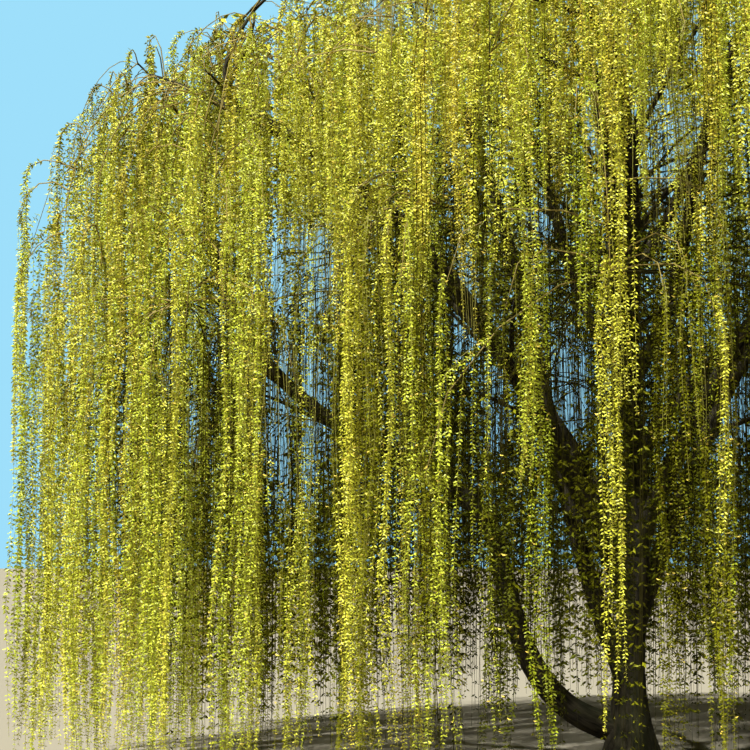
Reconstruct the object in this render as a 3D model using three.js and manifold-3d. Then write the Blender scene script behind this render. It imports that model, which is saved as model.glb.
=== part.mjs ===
// A weeping willow in spring, in millimetres, +Z up, with its origin in the middle of the flat cut
// under the trunk. A flared foot forks low into a leader and long boughs that arch outwards. The
// foliage is a set of masses of hanging tresses, each over its own patch of ground.
import * as THREE from 'three';
import { mergeVertices } from 'three/addons/utils/BufferGeometryUtils.js';
import Module from 'manifold-3d';

const wasm = await Module();
wasm.setup();

// Clearance between a limb and the one that carries it, and what is added to it round the trunk,
// where the slope of the flare makes it narrower than the growth of the rings
const SEAT = 0.3;
const FLARE_ROOM = 0.1;

// The outline of the crown: a flat dome down to its shoulder, then a steep fall to its rim. Towards
// one azimuth the dome is lower over a sector on either side, and the rim by a share of that.
const CROWN = {
  top: 10400, shoulderRadius: 6300, shoulderHeight: 8000, rimRadius: 6950, rimHeight: 6000,
  dip: 1350, dipTowards: 216, dipSector: 52, dipFrom: 2500, dipTo: 4800, rimDip: 0.3,
};

// The trunk: a leader that sways to the right at half its height, on a foot with five root ridges
const TRUNK = {
  height: 7700, taperHeight: 9000, radius: 160, flare: 265, flareFall: 440, sides: 18,
  sway: 170, swayFrom: 600, swayTo: 5500, lean: -110, drift: 90,
  ridges: 5, ridgeDepth: 0.15, ridgeFall: 330,
  rings: [0, 80, 200, 380, 620, 950, 1400, 1950, 2600, 3300, 4050, 4800, 5550, 6300, 7000, 7700],
};

// Boughs end in a flat face where they enter the foliage
const BOUGH = { sides: 7, steps: 6, tipRadius: 62, upperTipRadius: 50 };

// Outer boughs: side, azimuth in degrees, height on the trunk, tip height and foot radius
const OUTER_REACH = 4900;
const OUTER_BOUGHS = [
  ['left', 172, 430, 6600, 150],
  ['front_left', 214, 1750, 6600, 112],
  ['front', 258, 3000, 6900, 96],
  ['front_right', 303, 2350, 6800, 104],
  ['right', 350, 3450, 6900, 94],
  ['back_right', 35, 1500, 6700, 116],
  ['back', 80, 2700, 6900, 100],
  ['back_left', 126, 2050, 6800, 106],
];

// Upper boughs, which carry the top of the crown
const UPPER_REACH = 2300;
const UPPER_BOUGHS = [
  ['left', 184, 900, 8450, 112],
  ['front', 252, 4750, 8700, 78],
  ['front_right', 312, 4250, 8600, 82],
  ['right', 10, 5350, 8750, 72],
  ['back_right', 72, 4950, 8700, 76],
  ['back_left', 132, 4500, 8650, 80],
];

// How the two kinds of bough spread: the places of the two handles that shape their curves, as
// shares of their reach and rise, and the angle by which they veer
const OUTER_SPREAD = { out: 0.2, up: 0.4, farOut: 0.6, farUp: 0.86, veer: 11 };
const UPPER_SPREAD = { out: 0.46, up: 0.28, farOut: 0.4, farUp: 0.7, veer: -14 };

// The knee at which the low left bough turns from reaching out to rising: its place and radius,
// its lean outwards for each unit of rise, and the handles of the curves below and above it
const KNEE = {
  reach: 1480, height: 2560, radius: 112, lean: 0.3,
  footOut: 0.85, footUp: 120, before: 700, after: 1150, tipOut: 0.94, tipUp: 900,
};

// Plan distances of the middles of the masses from the trunk, and the angle from an outer bough
// to either of the two curtains that it carries
const CURTAIN = { radius: 6000, turn: 11.25 };
const SHOULDER_RADIUS = 3370;
const TOP_RADIUS = 1950;

// Each kind of mass: the plan distance of its stem's crest, how many tresses it has, the sector and
// the plan distances that they hang in, their spacing, and the length of their leaves
const KINDS = {
  curtain: { crest: 5550, tresses: 5, sector: 15, from: 5400, to: 6720, spacing: 560, leaf: 1950 },
  shoulder: { crest: 3850, tresses: 6, sector: 28, from: 2600, to: 5300, spacing: 640, leaf: 1700 },
  top: { crest: 2000, tresses: 5, sector: 34, from: 700, to: 2900, spacing: 560, leaf: 1600 },
  middle: { crest: 0, tresses: 5, sector: 180, from: 0, to: 1300, spacing: 520, leaf: 1500 },
};
const SPOT_TRIES = 120;

// Where the stems of a bough's masses start on its end face: one above, two below
const STEM_SPREAD = 33;
const STEM_PLACES = { shoulder: 90, curtain_1: 330, curtain_2: 210 };

// A stem goes on from its bough and comes over its crest, which is sunk below the crown's outline.
// Its handles are shares of the distance, and it still rises a little at its crest.
const STEM = { steps: 5, from: 0.35, over: 0.4, rise: 0.35, sink: 180 };

// Twigs have three sides; radii are to their corners
const TWIG = { sides: 3, stem: 27, stemTip: 17, arch: 12, tress: 8 };

// Tresses leave the stem from this share of its length on, arch up and over to their spots and
// then hang straight. Every third one starts lower, which gives the crown its tiers.
const ARCH = {
  steps: 3, from: 0.42, shift: 0.3, crest: 100, drop: 750,
  sink: 90, moreSink: 420, tierSink: 1500, tier: 3,
};
const SHORTEST_TRESS = 900;

// Heights at which tresses end: low at the rim, high near the trunk, and raised on one side
const HEM = {
  low: 380, ragged: 1250, high: 6100, inner: 2700, outer: 5300, even: 0.85,
  raised: 1700, towards: 318, narrowing: 4,
};

// Each leaf stands for a spray of shoots. Its sizes, and the spacing from one to the next, are
// shares of its length, and the first one on a tress starts at a share of the length of the arch.
const LEAF = {
  width: 0.155, thickness: 0.022, widest: 0.3, out: 0.07, tipOut: 0.04, spacing: 0.95, start: 0.7,
};

// Clearances of a tress, from the border of its space in plan and from the limbs under it, and
// the number of balls that stand for each limb when tresses are kept clear of it
const TRESS_ROOM = 235;
const LIMB_ROOM = 60;
const LIMB_BALLS = 40;

const TOLERANCE = 1e-4;
const UP = new THREE.Vector3(0, 0, 1);
const radians = THREE.MathUtils.degToRad;

const barkMaterial = new THREE.MeshStandardMaterial({
  color: 0x4a4434, roughness: 0.95, metalness: 0 });
const foliageMaterials = [0x9c9c34, 0xa8a63c, 0x8f9430, 0xb0a83a].map((color) => (
  new THREE.MeshStandardMaterial({ color, roughness: 0.75, metalness: 0 })));

// Random numbers between 0 and 1 that are the same on every run, from a linear rule
const RANDOM = { span: 2 ** 32, spread: 2654435761, times: 1664525, plus: 1013904223 };

function seeded(seed) {
  let state = (seed * RANDOM.spread) % RANDOM.span;
  const next = () => {
    state = (state * RANDOM.times + RANDOM.plus) % RANDOM.span;
    return state / RANDOM.span;
  };
  next();
  next();
  return next;
}

const polar = (azimuth, radius, z) => new THREE.Vector3(
  radius * Math.cos(radians(azimuth)), radius * Math.sin(radians(azimuth)), z);

const planRadius = (point) => Math.hypot(point.x, point.y);

const planDistance = (a, b) => Math.hypot(a.x - b.x, a.y - b.y);

// Values at even steps from 0 to 1, both included
const evenly = (steps, value) => Array.from({ length: steps + 1 }, (_, i) => value(i / steps));

// How far the dome dips over a plan point
function crownDip(point) {
  const away = Math.atan2(point.y, point.x) - radians(CROWN.dipTowards);
  const turn = Math.abs(Math.atan2(Math.sin(away), Math.cos(away)));
  const aside = Math.min(turn / radians(CROWN.dipSector), 1);
  const outward = THREE.MathUtils.smoothstep(planRadius(point), CROWN.dipFrom, CROWN.dipTo);
  return CROWN.dip * Math.cos(aside * Math.PI / 2) ** 2 * outward;
}

// Height of the crown's outline over a plan point
function crownTop(point) {
  const radius = planRadius(point);
  const dip = crownDip(point);
  if (radius <= CROWN.shoulderRadius) {
    const fall = (CROWN.top - CROWN.shoulderHeight) * (radius / CROWN.shoulderRadius) ** 2;
    return CROWN.top - fall - dip;
  }
  const past = (radius - CROWN.shoulderRadius) / (CROWN.rimRadius - CROWN.shoulderRadius);
  return THREE.MathUtils.lerp(
    CROWN.shoulderHeight - dip, CROWN.rimHeight - dip * CROWN.rimDip, past);
}

// Points and directions at even steps along a curve
const samples = (curve, steps) => (
  evenly(steps, (t) => ({ point: curve.getPoint(t), tangent: curve.getTangent(t) })));

// Radii that fall evenly from foot to tip
const taper = (steps, foot, tip) => evenly(steps, (t) => foot + (tip - foot) * t);

// Gives each place of a path a direction across it, carried along with as little turning as it can
function framed(places) {
  const steepest = 0.9;
  const upright = Math.abs(places[0].tangent.z) >= steepest;
  let across = upright ? new THREE.Vector3(1, 0, 0) : UP.clone();
  return places.map(({ point, tangent }) => {
    across = across.clone().addScaledVector(tangent, -across.dot(tangent)).normalize();
    return { point, tangent, across };
  });
}

function geometryOf(corners, faces) {
  const geometry = new THREE.BufferGeometry();
  const numbers = corners.flatMap((corner) => corner.toArray());
  geometry.setAttribute('position', new THREE.Float32BufferAttribute(numbers, 3));
  geometry.setIndex(faces);
  return geometry;
}

// Closes a ring with one face where it has three corners, and else with a fan round its middle
function closeEnd(corners, faces, middle, radius, ring) {
  if (ring.length === 3 && radius > 0) {
    faces.push(...ring);
    return;
  }
  const hub = corners.push(middle.clone()) - 1;
  ring.forEach((corner, i) => faces.push(hub, corner, ring[(i + 1) % ring.length]));
}

// A closed tapering body with a ring of corners square to each place of its path. A last radius
// of 0 ends it in a point, and shape(turn, point) swells or narrows its rings.
function loft(places, radii, sides, shape = () => 1) {
  const corners = [];
  const faces = [];
  framed(places).forEach(({ point, tangent, across }, ring) => {
    const beside = tangent.clone().cross(across);
    for (let side = 0; side < sides && radii[ring] > 0; side += 1) {
      const turn = 2 * Math.PI * side / sides;
      const radius = radii[ring] * shape(turn, point);
      corners.push(point.clone()
        .addScaledVector(across, radius * Math.cos(turn))
        .addScaledVector(beside, radius * Math.sin(turn)));
    }
  });
  const rings = radii.filter((radius) => radius > 0).length;
  const last = (rings - 1) * sides;
  for (let side = 0; side < sides; side += 1) {
    const next = (side + 1) % sides;
    for (let a = side, b = next; a < last; a += sides, b += sides) {
      faces.push(a, b, b + sides, a, b + sides, a + sides);
    }
  }
  const footRing = Array.from({ length: sides }, (_, i) => sides - 1 - i);
  const tipRing = Array.from({ length: sides }, (_, i) => last + i);
  closeEnd(corners, faces, places[0].point, radii[0], footRing);
  closeEnd(corners, faces, places.at(-1).point, radii.at(-1), tipRing);
  return geometryOf(corners, faces);
}

function toSolid(geometry) {
  const merged = mergeVertices(geometry, TOLERANCE);
  return new wasm.Manifold(new wasm.Mesh({
    numProp: 3,
    vertProperties: new Float32Array(merged.attributes.position.array),
    triVerts: new Uint32Array(merged.index.array),
  }));
}

// The largest body of a solid, with no loose scraps and no sealed hollows
const mainBody = (solid) => solid.decompose().sort((a, b) => b.volume() - a.volume())[0];

function toMesh(solid, name, material) {
  const { vertProperties, triVerts } = solid.getMesh();
  const geometry = new THREE.BufferGeometry();
  geometry.setAttribute('position', new THREE.BufferAttribute(new Float32Array(vertProperties), 3));
  geometry.setIndex(new THREE.BufferAttribute(new Uint32Array(triVerts), 1));
  geometry.computeVertexNormals();
  const mesh = new THREE.Mesh(geometry, material.clone());
  mesh.name = name;
  return mesh;
}

// Trunk

function trunkPoint(z) {
  const along = THREE.MathUtils.clamp((z - TRUNK.swayFrom) / (TRUNK.swayTo - TRUNK.swayFrom), 0, 1);
  const swayed = TRUNK.sway * (1 - Math.cos(2 * Math.PI * along)) / 2;
  const share = (z / TRUNK.height) ** 2;
  return new THREE.Vector3(swayed + TRUNK.lean * share, TRUNK.drift * share, z);
}

const trunkRadius = (z) => (
  TRUNK.radius * Math.sqrt(1 - z / TRUNK.taperHeight) + TRUNK.flare * Math.exp(-z / TRUNK.flareFall));

function trunkPlaces() {
  const probe = 1;
  return TRUNK.rings.map((z) => ({
    point: trunkPoint(z),
    tangent: z === 0 ? UP.clone() : trunkPoint(z + probe).sub(trunkPoint(z - probe)).normalize(),
  }));
}

function trunkSolid(growth) {
  const ridges = (turn, point) => (
    1 + TRUNK.ridgeDepth * Math.exp(-point.z / TRUNK.ridgeFall) * Math.cos(TRUNK.ridges * turn + 1));
  const radii = TRUNK.rings.map((z) => trunkRadius(z) + growth);
  return toSolid(loft(trunkPlaces(), radii, TRUNK.sides, ridges));
}

// Boughs: each is a curve with a foot and a tip radius

const bough = (name, curve, footRadius, tipRadius) => ({ name, curve, footRadius, tipRadius });

// A bough rises from the trunk, spreads and flattens, and veers a little on its way to its tip
function archedCurve(azimuth, height, reach, tipHeight, spread) {
  const foot = trunkPoint(height);
  const rise = tipHeight - height;
  const near = polar(azimuth - spread.veer, reach * spread.out, rise * spread.up).add(foot);
  const far = polar(azimuth + spread.veer, reach * spread.farOut, height + rise * spread.farUp);
  return new THREE.CubicBezierCurve3(foot, near, far, polar(azimuth, reach, tipHeight));
}

// The low left bough, split at its knee
function leftBoughs(azimuth, height, tipHeight, footRadius) {
  const rising = polar(azimuth, KNEE.lean, 1).normalize();
  const knee = polar(azimuth, KNEE.reach, KNEE.height);
  const seat = knee.clone().addScaledVector(rising, SEAT);
  const lower = new THREE.CubicBezierCurve3(
    trunkPoint(height),
    polar(azimuth, KNEE.reach * KNEE.footOut, height + KNEE.footUp),
    knee.clone().addScaledVector(rising, -KNEE.before),
    knee);
  const upper = new THREE.CubicBezierCurve3(
    seat,
    seat.clone().addScaledVector(rising, KNEE.after),
    polar(azimuth, OUTER_REACH * KNEE.tipOut, KNEE.height + KNEE.tipUp),
    polar(azimuth, OUTER_REACH, tipHeight));
  return [
    bough('left_bough', lower, footRadius, KNEE.radius),
    bough('left_bough_upper', upper, KNEE.radius, BOUGH.tipRadius),
  ];
}

const outerBoughs = OUTER_BOUGHS.flatMap(([side, azimuth, height, tipHeight, radius]) => {
  if (side === 'left') return leftBoughs(azimuth, height, tipHeight, radius);
  const curve = archedCurve(azimuth, height, OUTER_REACH, tipHeight, OUTER_SPREAD);
  return [bough(`${side}_bough`, curve, radius, BOUGH.tipRadius)];
});

const upperBoughs = UPPER_BOUGHS.map(([side, azimuth, height, tipHeight, radius]) => {
  const curve = archedCurve(azimuth, height, UPPER_REACH, tipHeight, UPPER_SPREAD);
  return bough(`upper_${side}_bough`, curve, radius, BOUGH.upperTipRadius);
});

const boughs = [...outerBoughs, ...upperBoughs];

const boughSolid = ({ curve, footRadius, tipRadius }) => (
  toSolid(loft(samples(curve, BOUGH.steps), taper(BOUGH.steps, footRadius, tipRadius), BOUGH.sides)));

// Masses: each has a kind, the middle of its space in plan, and the limb tip that carries it

const boughTip = (name) => {
  const { curve } = boughs.find((limb) => limb.name === name);
  return { point: curve.getPoint(1), direction: curve.getTangent(1) };
};

function stemStart(tip, place) {
  const side = UP.clone().cross(tip.direction).normalize();
  const above = tip.direction.clone().cross(side);
  const start = tip.point.clone().addScaledVector(tip.direction, SEAT);
  if (place !== undefined) {
    start.addScaledVector(side, STEM_SPREAD * Math.cos(radians(place)));
    start.addScaledVector(above, STEM_SPREAD * Math.sin(radians(place)));
  }
  return start;
}

function outerMasses([side, azimuth], index) {
  const tip = boughTip(side === 'left' ? 'left_bough_upper' : `${side}_bough`);
  const mass = (suffix, kind, turn, radius, order) => ({
    name: `${side}_${suffix}`, kind, tip, start: stemStart(tip, STEM_PLACES[suffix]),
    middle: polar(azimuth + turn, radius, 0), azimuth: azimuth + turn, seed: 10 * (index + 1) + order,
  });
  return [
    mass('curtain_1', 'curtain', CURTAIN.turn, CURTAIN.radius, 1),
    mass('curtain_2', 'curtain', -CURTAIN.turn, CURTAIN.radius, 2),
    mass('shoulder', 'shoulder', 0, SHOULDER_RADIUS, 3),
  ];
}

function topMass([side, azimuth], index) {
  const tip = boughTip(`upper_${side}_bough`);
  return {
    name: `top_${side}_mass`, kind: 'top', tip, start: stemStart(tip),
    middle: polar(azimuth, TOP_RADIUS, 0), azimuth, seed: 200 + index,
  };
}

const leaderTip = { point: trunkPoint(TRUNK.height), direction: trunkPlaces().at(-1).tangent };
const middleMass = {
  name: 'top_middle_mass', kind: 'middle', tip: leaderTip, start: stemStart(leaderTip),
  middle: polar(0, 0, 0), azimuth: 0, seed: 300,
};
const masses = [...OUTER_BOUGHS.flatMap(outerMasses), ...UPPER_BOUGHS.map(topMass), middleMass];

// True where a plan point lies nearer to its own mass than to any other, by a margin each side
function inSpace(mass, point, margin) {
  const own = planDistance(point, mass.middle);
  return planRadius(point) <= CROWN.rimRadius - margin && masses.every((other) => {
    if (other === mass) return true;
    const apart = planDistance(mass.middle, other.middle);
    return (planDistance(point, other.middle) ** 2 - own ** 2) / (2 * apart) >= margin;
  });
}

// Balls along every limb, for keeping tresses clear of them
const limbBalls = [
  ...evenly(LIMB_BALLS, (t) => (
    { point: trunkPoint(TRUNK.height * t), radius: trunkRadius(TRUNK.height * t) })),
  ...boughs.flatMap(({ curve, footRadius, tipRadius }) => evenly(LIMB_BALLS, (t) => (
    { point: curve.getPoint(t), radius: footRadius + (tipRadius - footRadius) * t }))),
];

// The lowest height to which a tress over a plan spot can hang clear of the limbs below a height
function clearHeight(spot, top) {
  const under = limbBalls.filter((ball) => (
    ball.point.z < top && planDistance(ball.point, spot) < ball.radius + TRESS_ROOM));
  return Math.max(0, ...under.map((ball) => ball.point.z + ball.radius + LIMB_ROOM + TRESS_ROOM));
}

// Plan spots that tresses hang over, drawn at random and kept where they are clear of each other,
// of the border of their space and of any limb just under the crown's outline
function tressSpots(mass, random) {
  const { tresses, sector, from, to, spacing } = KINDS[mass.kind];
  const spots = [];
  for (let i = 0; i < SPOT_TRIES && spots.length < tresses; i += 1) {
    const spot = polar(mass.azimuth + sector * (2 * random() - 1), from + (to - from) * random(), 0);
    const apart = spots.every((other) => planDistance(other, spot) >= spacing);
    const lowest = crownTop(spot) - ARCH.sink - ARCH.moreSink;
    const hangs = clearHeight(spot, lowest) + SHORTEST_TRESS < lowest - ARCH.drop;
    if (apart && hangs && inSpace(mass, spot, TRESS_ROOM)) spots.push(spot);
  }
  return spots;
}

// Height at which a tress over a plan point ends
function hemHeight(point, random) {
  const inward = 1 - THREE.MathUtils.smoothstep(planRadius(point), HEM.inner, HEM.outer);
  const facing = Math.max(0, Math.cos(Math.atan2(point.y, point.x) - radians(HEM.towards)));
  const raised = HEM.raised * facing ** HEM.narrowing * random();
  const ragged = HEM.ragged * random() ** 2;
  const share = HEM.even + (1 - HEM.even) * random();
  return HEM.low + raised + ragged + (HEM.high - HEM.low) * inward * share;
}

function stemCurve({ kind, azimuth, start, tip }) {
  const { crest } = KINDS[kind];
  const end = polar(azimuth, crest, 0);
  end.z = crownTop(end) - STEM.sink;
  const chord = start.distanceTo(end);
  const over = end.clone().sub(start).setZ(0).normalize().addScaledVector(UP, STEM.rise).normalize();
  return new THREE.CubicBezierCurve3(
    start,
    start.clone().addScaledVector(tip.direction, STEM.from * chord),
    end.clone().addScaledVector(over, -STEM.over * chord),
    end);
}

// Points of one tress from the stem over its arch to its end, or nothing where it has no room
function tressPoints(stem, spot, index, count, random) {
  const start = stem.getPoint(ARCH.from + (1 - ARCH.from) * (index + 1) / count);
  const sink = ARCH.sink + ARCH.moreSink * random();
  const tierSink = index % ARCH.tier === ARCH.tier - 1 ? ARCH.tierSink * random() : 0;
  const height = crownTop(spot) - sink - tierSink;
  const bend = start.clone().lerp(spot, ARCH.shift).setZ(Math.max(height, start.z));
  const over = spot.clone().setZ(height + ARCH.crest);
  const hung = spot.clone().setZ(height - ARCH.drop);
  const low = Math.max(hemHeight(spot, random), clearHeight(spot, hung.z));
  if (hung.z - low < SHORTEST_TRESS) return undefined;
  const arch = new THREE.CubicBezierCurve3(start, bend, over, hung);
  return [...arch.getPoints(ARCH.steps), hung.clone().setZ(low)];
}

// Places along a tress, with directions for its rings
function tressPlaces(points) {
  return points.map((point, i) => {
    const before = points[Math.max(i - 1, 0)];
    const after = points[Math.min(i + 1, points.length - 1)];
    return { point, tangent: after.clone().sub(before).normalize() };
  });
}

// The place at a distance along a tress, with the way across that its twig has there
function placeAlong(places, distance) {
  let left = distance;
  let i = 0;
  const span = () => places[i].point.distanceTo(places[i + 1].point);
  while (left > span() && i < places.length - 2) {
    left -= span();
    i += 1;
  }
  const [from, to] = [places[i], places[i + 1]];
  const tangent = to.point.clone().sub(from.point).normalize();
  return {
    point: from.point.clone().lerp(to.point, Math.min(left / span(), 1)),
    tangent,
    across: from.across.clone().addScaledVector(tangent, -from.across.dot(tangent)).normalize(),
  };
}

// A lance-shaped leaf with its root in the middle of its twig. It leaves through the side of the
// twig that face names, spreads to its widest and leans back over the twig towards its tip.
function leafSolid(places, distance, length, face) {
  const root = placeAlong(places, distance);
  const ahead = placeAlong(places, distance + length);
  const faceTurn = 360 * (face + 0.5) / TWIG.sides;
  const outward = root.across.clone().applyAxisAngle(root.tangent, radians(faceTurn));
  const axis = ahead.point.clone().sub(root.point).normalize();
  const side = axis.clone().cross(outward).normalize();
  const at = (along, out, aside) => root.point.clone()
    .addScaledVector(axis, along * length)
    .addScaledVector(outward, out * length)
    .addScaledVector(side, aside * length);
  const corners = [
    at(0, 0, 0),
    at(LEAF.widest, LEAF.out, LEAF.width / 2),
    at(LEAF.widest, LEAF.out + LEAF.thickness, 0),
    at(LEAF.widest, LEAF.out, -LEAF.width / 2),
    at(1, LEAF.tipOut, 0),
  ];
  return toSolid(geometryOf(corners, [0, 1, 2, 0, 2, 3, 0, 3, 1, 4, 2, 1, 4, 3, 2, 4, 1, 3]));
}

// Leaves one after another down a tress, from the fall of its arch to its tip
function leavesOf(points, length, random) {
  const places = framed(tressPlaces(points));
  const spans = points.slice(1).map((point, i) => point.distanceTo(points[i]));
  const total = spans.reduce((sum, span) => sum + span, 0);
  const first = LEAF.start * (total - spans.at(-1));
  const room = total - first - length;
  const count = Math.max(1, Math.round(room / (length * LEAF.spacing)) + 1);
  const step = count > 1 ? room / (count - 1) : 0;
  const firstFace = Math.floor(TWIG.sides * random());
  return Array.from({ length: count }, (_, i) => (
    leafSolid(places, first + step * i, Math.min(length, total - first), firstFace + i)));
}

function massSolid(mass) {
  const random = seeded(mass.seed);
  const stem = stemCurve(mass);
  const spots = tressSpots(mass, random);
  const stemRadii = taper(STEM.steps, TWIG.stem, TWIG.stemTip);
  const tressRadii = [...taper(ARCH.steps, TWIG.arch, TWIG.tress), 0];
  const solids = [toSolid(loft(samples(stem, STEM.steps), stemRadii, TWIG.sides))];
  spots.forEach((spot, index) => {
    const points = tressPoints(stem, spot, index, spots.length, random);
    if (points === undefined) return;
    solids.push(toSolid(loft(tressPlaces(points), tressRadii, TWIG.sides)));
    solids.push(...leavesOf(points, KINDS[mass.kind].leaf, random));
  });
  return mainBody(solids.reduce((whole, next) => whole.add(next)));
}

const willow = new THREE.Group();
willow.add(toMesh(trunkSolid(0), 'trunk', barkMaterial));

const trunkRoom = trunkSolid(SEAT + FLARE_ROOM);
boughs.forEach((limb) => {
  const onTrunk = limb.name !== 'left_bough_upper';
  const solid = onTrunk ? boughSolid(limb).subtract(trunkRoom) : boughSolid(limb);
  willow.add(toMesh(mainBody(solid), limb.name, barkMaterial));
});

masses.forEach((mass, i) => {
  willow.add(toMesh(massSolid(mass), mass.name, foliageMaterials[i % foliageMaterials.length]));
});

export default willow;
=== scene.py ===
"""A weeping willow in spring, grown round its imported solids.

The limbs, the stems and the main tresses follow the rule of the solids. Side branches, finer
tresses, shoots, leaves and catkins then grow on from them, within the same reach.
"""

import logging
import math
from collections.abc import Callable, Iterable, Mapping, Sequence
from dataclasses import dataclass, field
from enum import Enum
from typing import Any, Protocol

import bmesh
import bpy
import numpy as np
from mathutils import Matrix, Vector, noise


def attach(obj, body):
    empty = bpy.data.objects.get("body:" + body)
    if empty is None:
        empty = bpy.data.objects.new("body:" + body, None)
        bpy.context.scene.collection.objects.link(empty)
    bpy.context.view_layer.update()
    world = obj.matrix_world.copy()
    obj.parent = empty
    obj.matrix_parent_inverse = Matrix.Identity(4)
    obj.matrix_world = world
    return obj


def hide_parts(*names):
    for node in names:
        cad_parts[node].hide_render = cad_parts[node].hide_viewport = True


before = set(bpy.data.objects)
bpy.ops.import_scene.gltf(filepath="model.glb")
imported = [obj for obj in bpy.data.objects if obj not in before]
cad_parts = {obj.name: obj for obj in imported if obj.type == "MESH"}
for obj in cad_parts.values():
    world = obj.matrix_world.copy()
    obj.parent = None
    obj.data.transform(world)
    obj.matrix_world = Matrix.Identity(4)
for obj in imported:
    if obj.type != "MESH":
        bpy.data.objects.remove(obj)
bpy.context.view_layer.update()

Array = np.ndarray
Random = np.random.Generator
NodeTree = bpy.types.GeometryNodeTree

log = logging.getLogger("willow")

MM = 0.001
UP = np.array((0.0, 0.0, 1.0))
BODY = "root"
BARK_SLOT = "bark"
FOLIAGE_SLOT = "foliage"
LARGEST_PIECE = 190_000
LARGEST_SPRAY = 1.16
TWIG_SIDES = 3
PAIR_FACES = 4

# The places of sockets that share their names with others on their node
RANDOM_LEAST, RANDOM_MOST, RANDOM_VALUE = 2, 3, 1
MIX_FIRST, MIX_SECOND, MIX_RESULT = 6, 7, 2


def polar(azimuth: float, radius: float, height: float = 0.0) -> Array:
    """Gives the point at an azimuth in degrees, a plan radius and a height."""
    turn = math.radians(azimuth)
    return np.array((radius * math.cos(turn), radius * math.sin(turn), height))


def unit(vector: Array) -> Array:
    """Scales a vector to length 1."""
    return vector / np.linalg.norm(vector)


def plan_radius(point: Array) -> float:
    """Gives the distance of a point from the tree's axis, seen from above."""
    return math.hypot(point[0], point[1])


def plan_distance(a: Array, b: Array) -> float:
    """Gives the distance between two points, seen from above."""
    return math.hypot(a[0] - b[0], a[1] - b[1])


def at_height(point: Array, height: float) -> Array:
    """Gives the point at a height over or under another one."""
    return np.array((point[0], point[1], height))


def smoothstep(value: float, low: float, high: float) -> float:
    """Rises smoothly from 0 at low to 1 at high."""
    share = min(max((value - low) / (high - low), 0.0), 1.0)
    return share * share * (3 - 2 * share)


def linear(colour: str) -> tuple[float, float, float, float]:
    """Turns an sRGB hex colour to a linear colour with full alpha.

    Args:
        colour: six hex digits, such as "4a4434".

    Returns:
        Red, green, blue and alpha, as Blender's colour sockets take them.
    """
    shares = [int(colour[i:i + 2], 16) / 255 for i in (0, 2, 4)]
    curved = [s / 12.92 if s <= 0.04045 else ((s + 0.055) / 1.055) ** 2.4 for s in shares]
    return (*curved, 1.0)


def add_node(
    tree: bpy.types.NodeTree,
    kind: str,
    settings: Mapping[str, Any] | None = None,
    inputs: Mapping[int | str, Any] | None = None,
) -> bpy.types.Node:
    """Adds a node with its settings, and sets or links its inputs.

    Args:
        tree: the node tree that it goes into.
        kind: Blender's type name of the node.
        settings: the node's own properties, by name.
        inputs: for an input's name or index, a value or the output that is linked to it.

    Returns:
        The new node.
    """
    node = tree.nodes.new(kind)
    for name, value in (settings or {}).items():
        setattr(node, name, value)
    for key, value in (inputs or {}).items():
        if isinstance(value, bpy.types.NodeSocket):
            tree.links.new(value, node.inputs[key])
        else:
            node.inputs[key].default_value = value
    return node


def new_material(name: str) -> bpy.types.Material:
    """Makes a material without nodes."""
    material = bpy.data.materials.new(name)
    material.use_nodes = True
    material.node_tree.nodes.clear()
    return material


def placed(name: str, data: bpy.types.ID) -> bpy.types.Object:
    """Puts a mesh, a lamp or a camera in the scene, as an object at the origin."""
    thing = bpy.data.objects.new(name, data)
    bpy.context.scene.collection.objects.link(thing)
    return thing


class Seeded:
    """Random numbers between 0 and 1, from the same linear rule as the solids."""

    SPAN = 2 ** 32
    SPREAD = 2654435761
    TIMES = 1664525
    PLUS = 1013904223

    def __init__(self, seed: int) -> None:
        """Starts the row of numbers, whose first two aren't used."""
        self.state = seed * self.SPREAD % self.SPAN
        self.draw()
        self.draw()

    def draw(self) -> float:
        """Gives the next number."""
        self.state = (self.state * self.TIMES + self.PLUS) % self.SPAN
        return self.state / self.SPAN


@dataclass(frozen=True)
class Bezier:
    """A cubic curve from its first handle to its last."""

    handles: tuple[Array, Array, Array, Array]

    def point(self, share: float) -> Array:
        """Gives the point at a share of the curve."""
        a, b, c, d = self.handles
        rest = 1 - share
        return rest**3 * a + 3 * rest**2 * share * b + 3 * rest * share**2 * c + share**3 * d

    def tangent(self, share: float) -> Array:
        """Gives the direction of the curve at a share of it."""
        a, b, c, d = self.handles
        rest = 1 - share
        return unit(rest**2 * (b - a) + 2 * rest * share * (c - b) + share**2 * (d - c))


@dataclass(frozen=True)
class Outline:
    """The outline of the foliage: a flat dome to its shoulder, then a steep fall to its rim.

    Towards one azimuth the dome dips over a sector on either side, and the rim by a share of that.
    """

    top: float = 10.4
    shoulder_radius: float = 6.3
    shoulder_height: float = 8.0
    rim_radius: float = 6.95
    rim_height: float = 6.0
    dip: float = 1.35
    dip_towards: float = 216.0
    dip_sector: float = 52.0
    dip_from: float = 2.5
    dip_to: float = 4.8
    rim_dip: float = 0.3

    def dip_over(self, point: Array) -> float:
        """Gives how far the dome dips over a plan point."""
        away = math.degrees(math.atan2(point[1], point[0])) - self.dip_towards
        aside = min(abs((away + 180) % 360 - 180) / self.dip_sector, 1.0)
        outward = smoothstep(plan_radius(point), self.dip_from, self.dip_to)
        return self.dip * math.cos(aside * math.pi / 2) ** 2 * outward

    def height_over(self, point: Array) -> float:
        """Gives the outline's height.

        Args:
            point: the point in plan.

        Returns:
            The height over it.
        """
        radius, dip = plan_radius(point), self.dip_over(point)
        if radius <= self.shoulder_radius:
            fall = (self.top - self.shoulder_height) * (radius / self.shoulder_radius) ** 2
            return self.top - fall - dip
        past = (radius - self.shoulder_radius) / (self.rim_radius - self.shoulder_radius)
        shoulder, rim = self.shoulder_height - dip, self.rim_height - dip * self.rim_dip
        return shoulder + past * (rim - shoulder)


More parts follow.
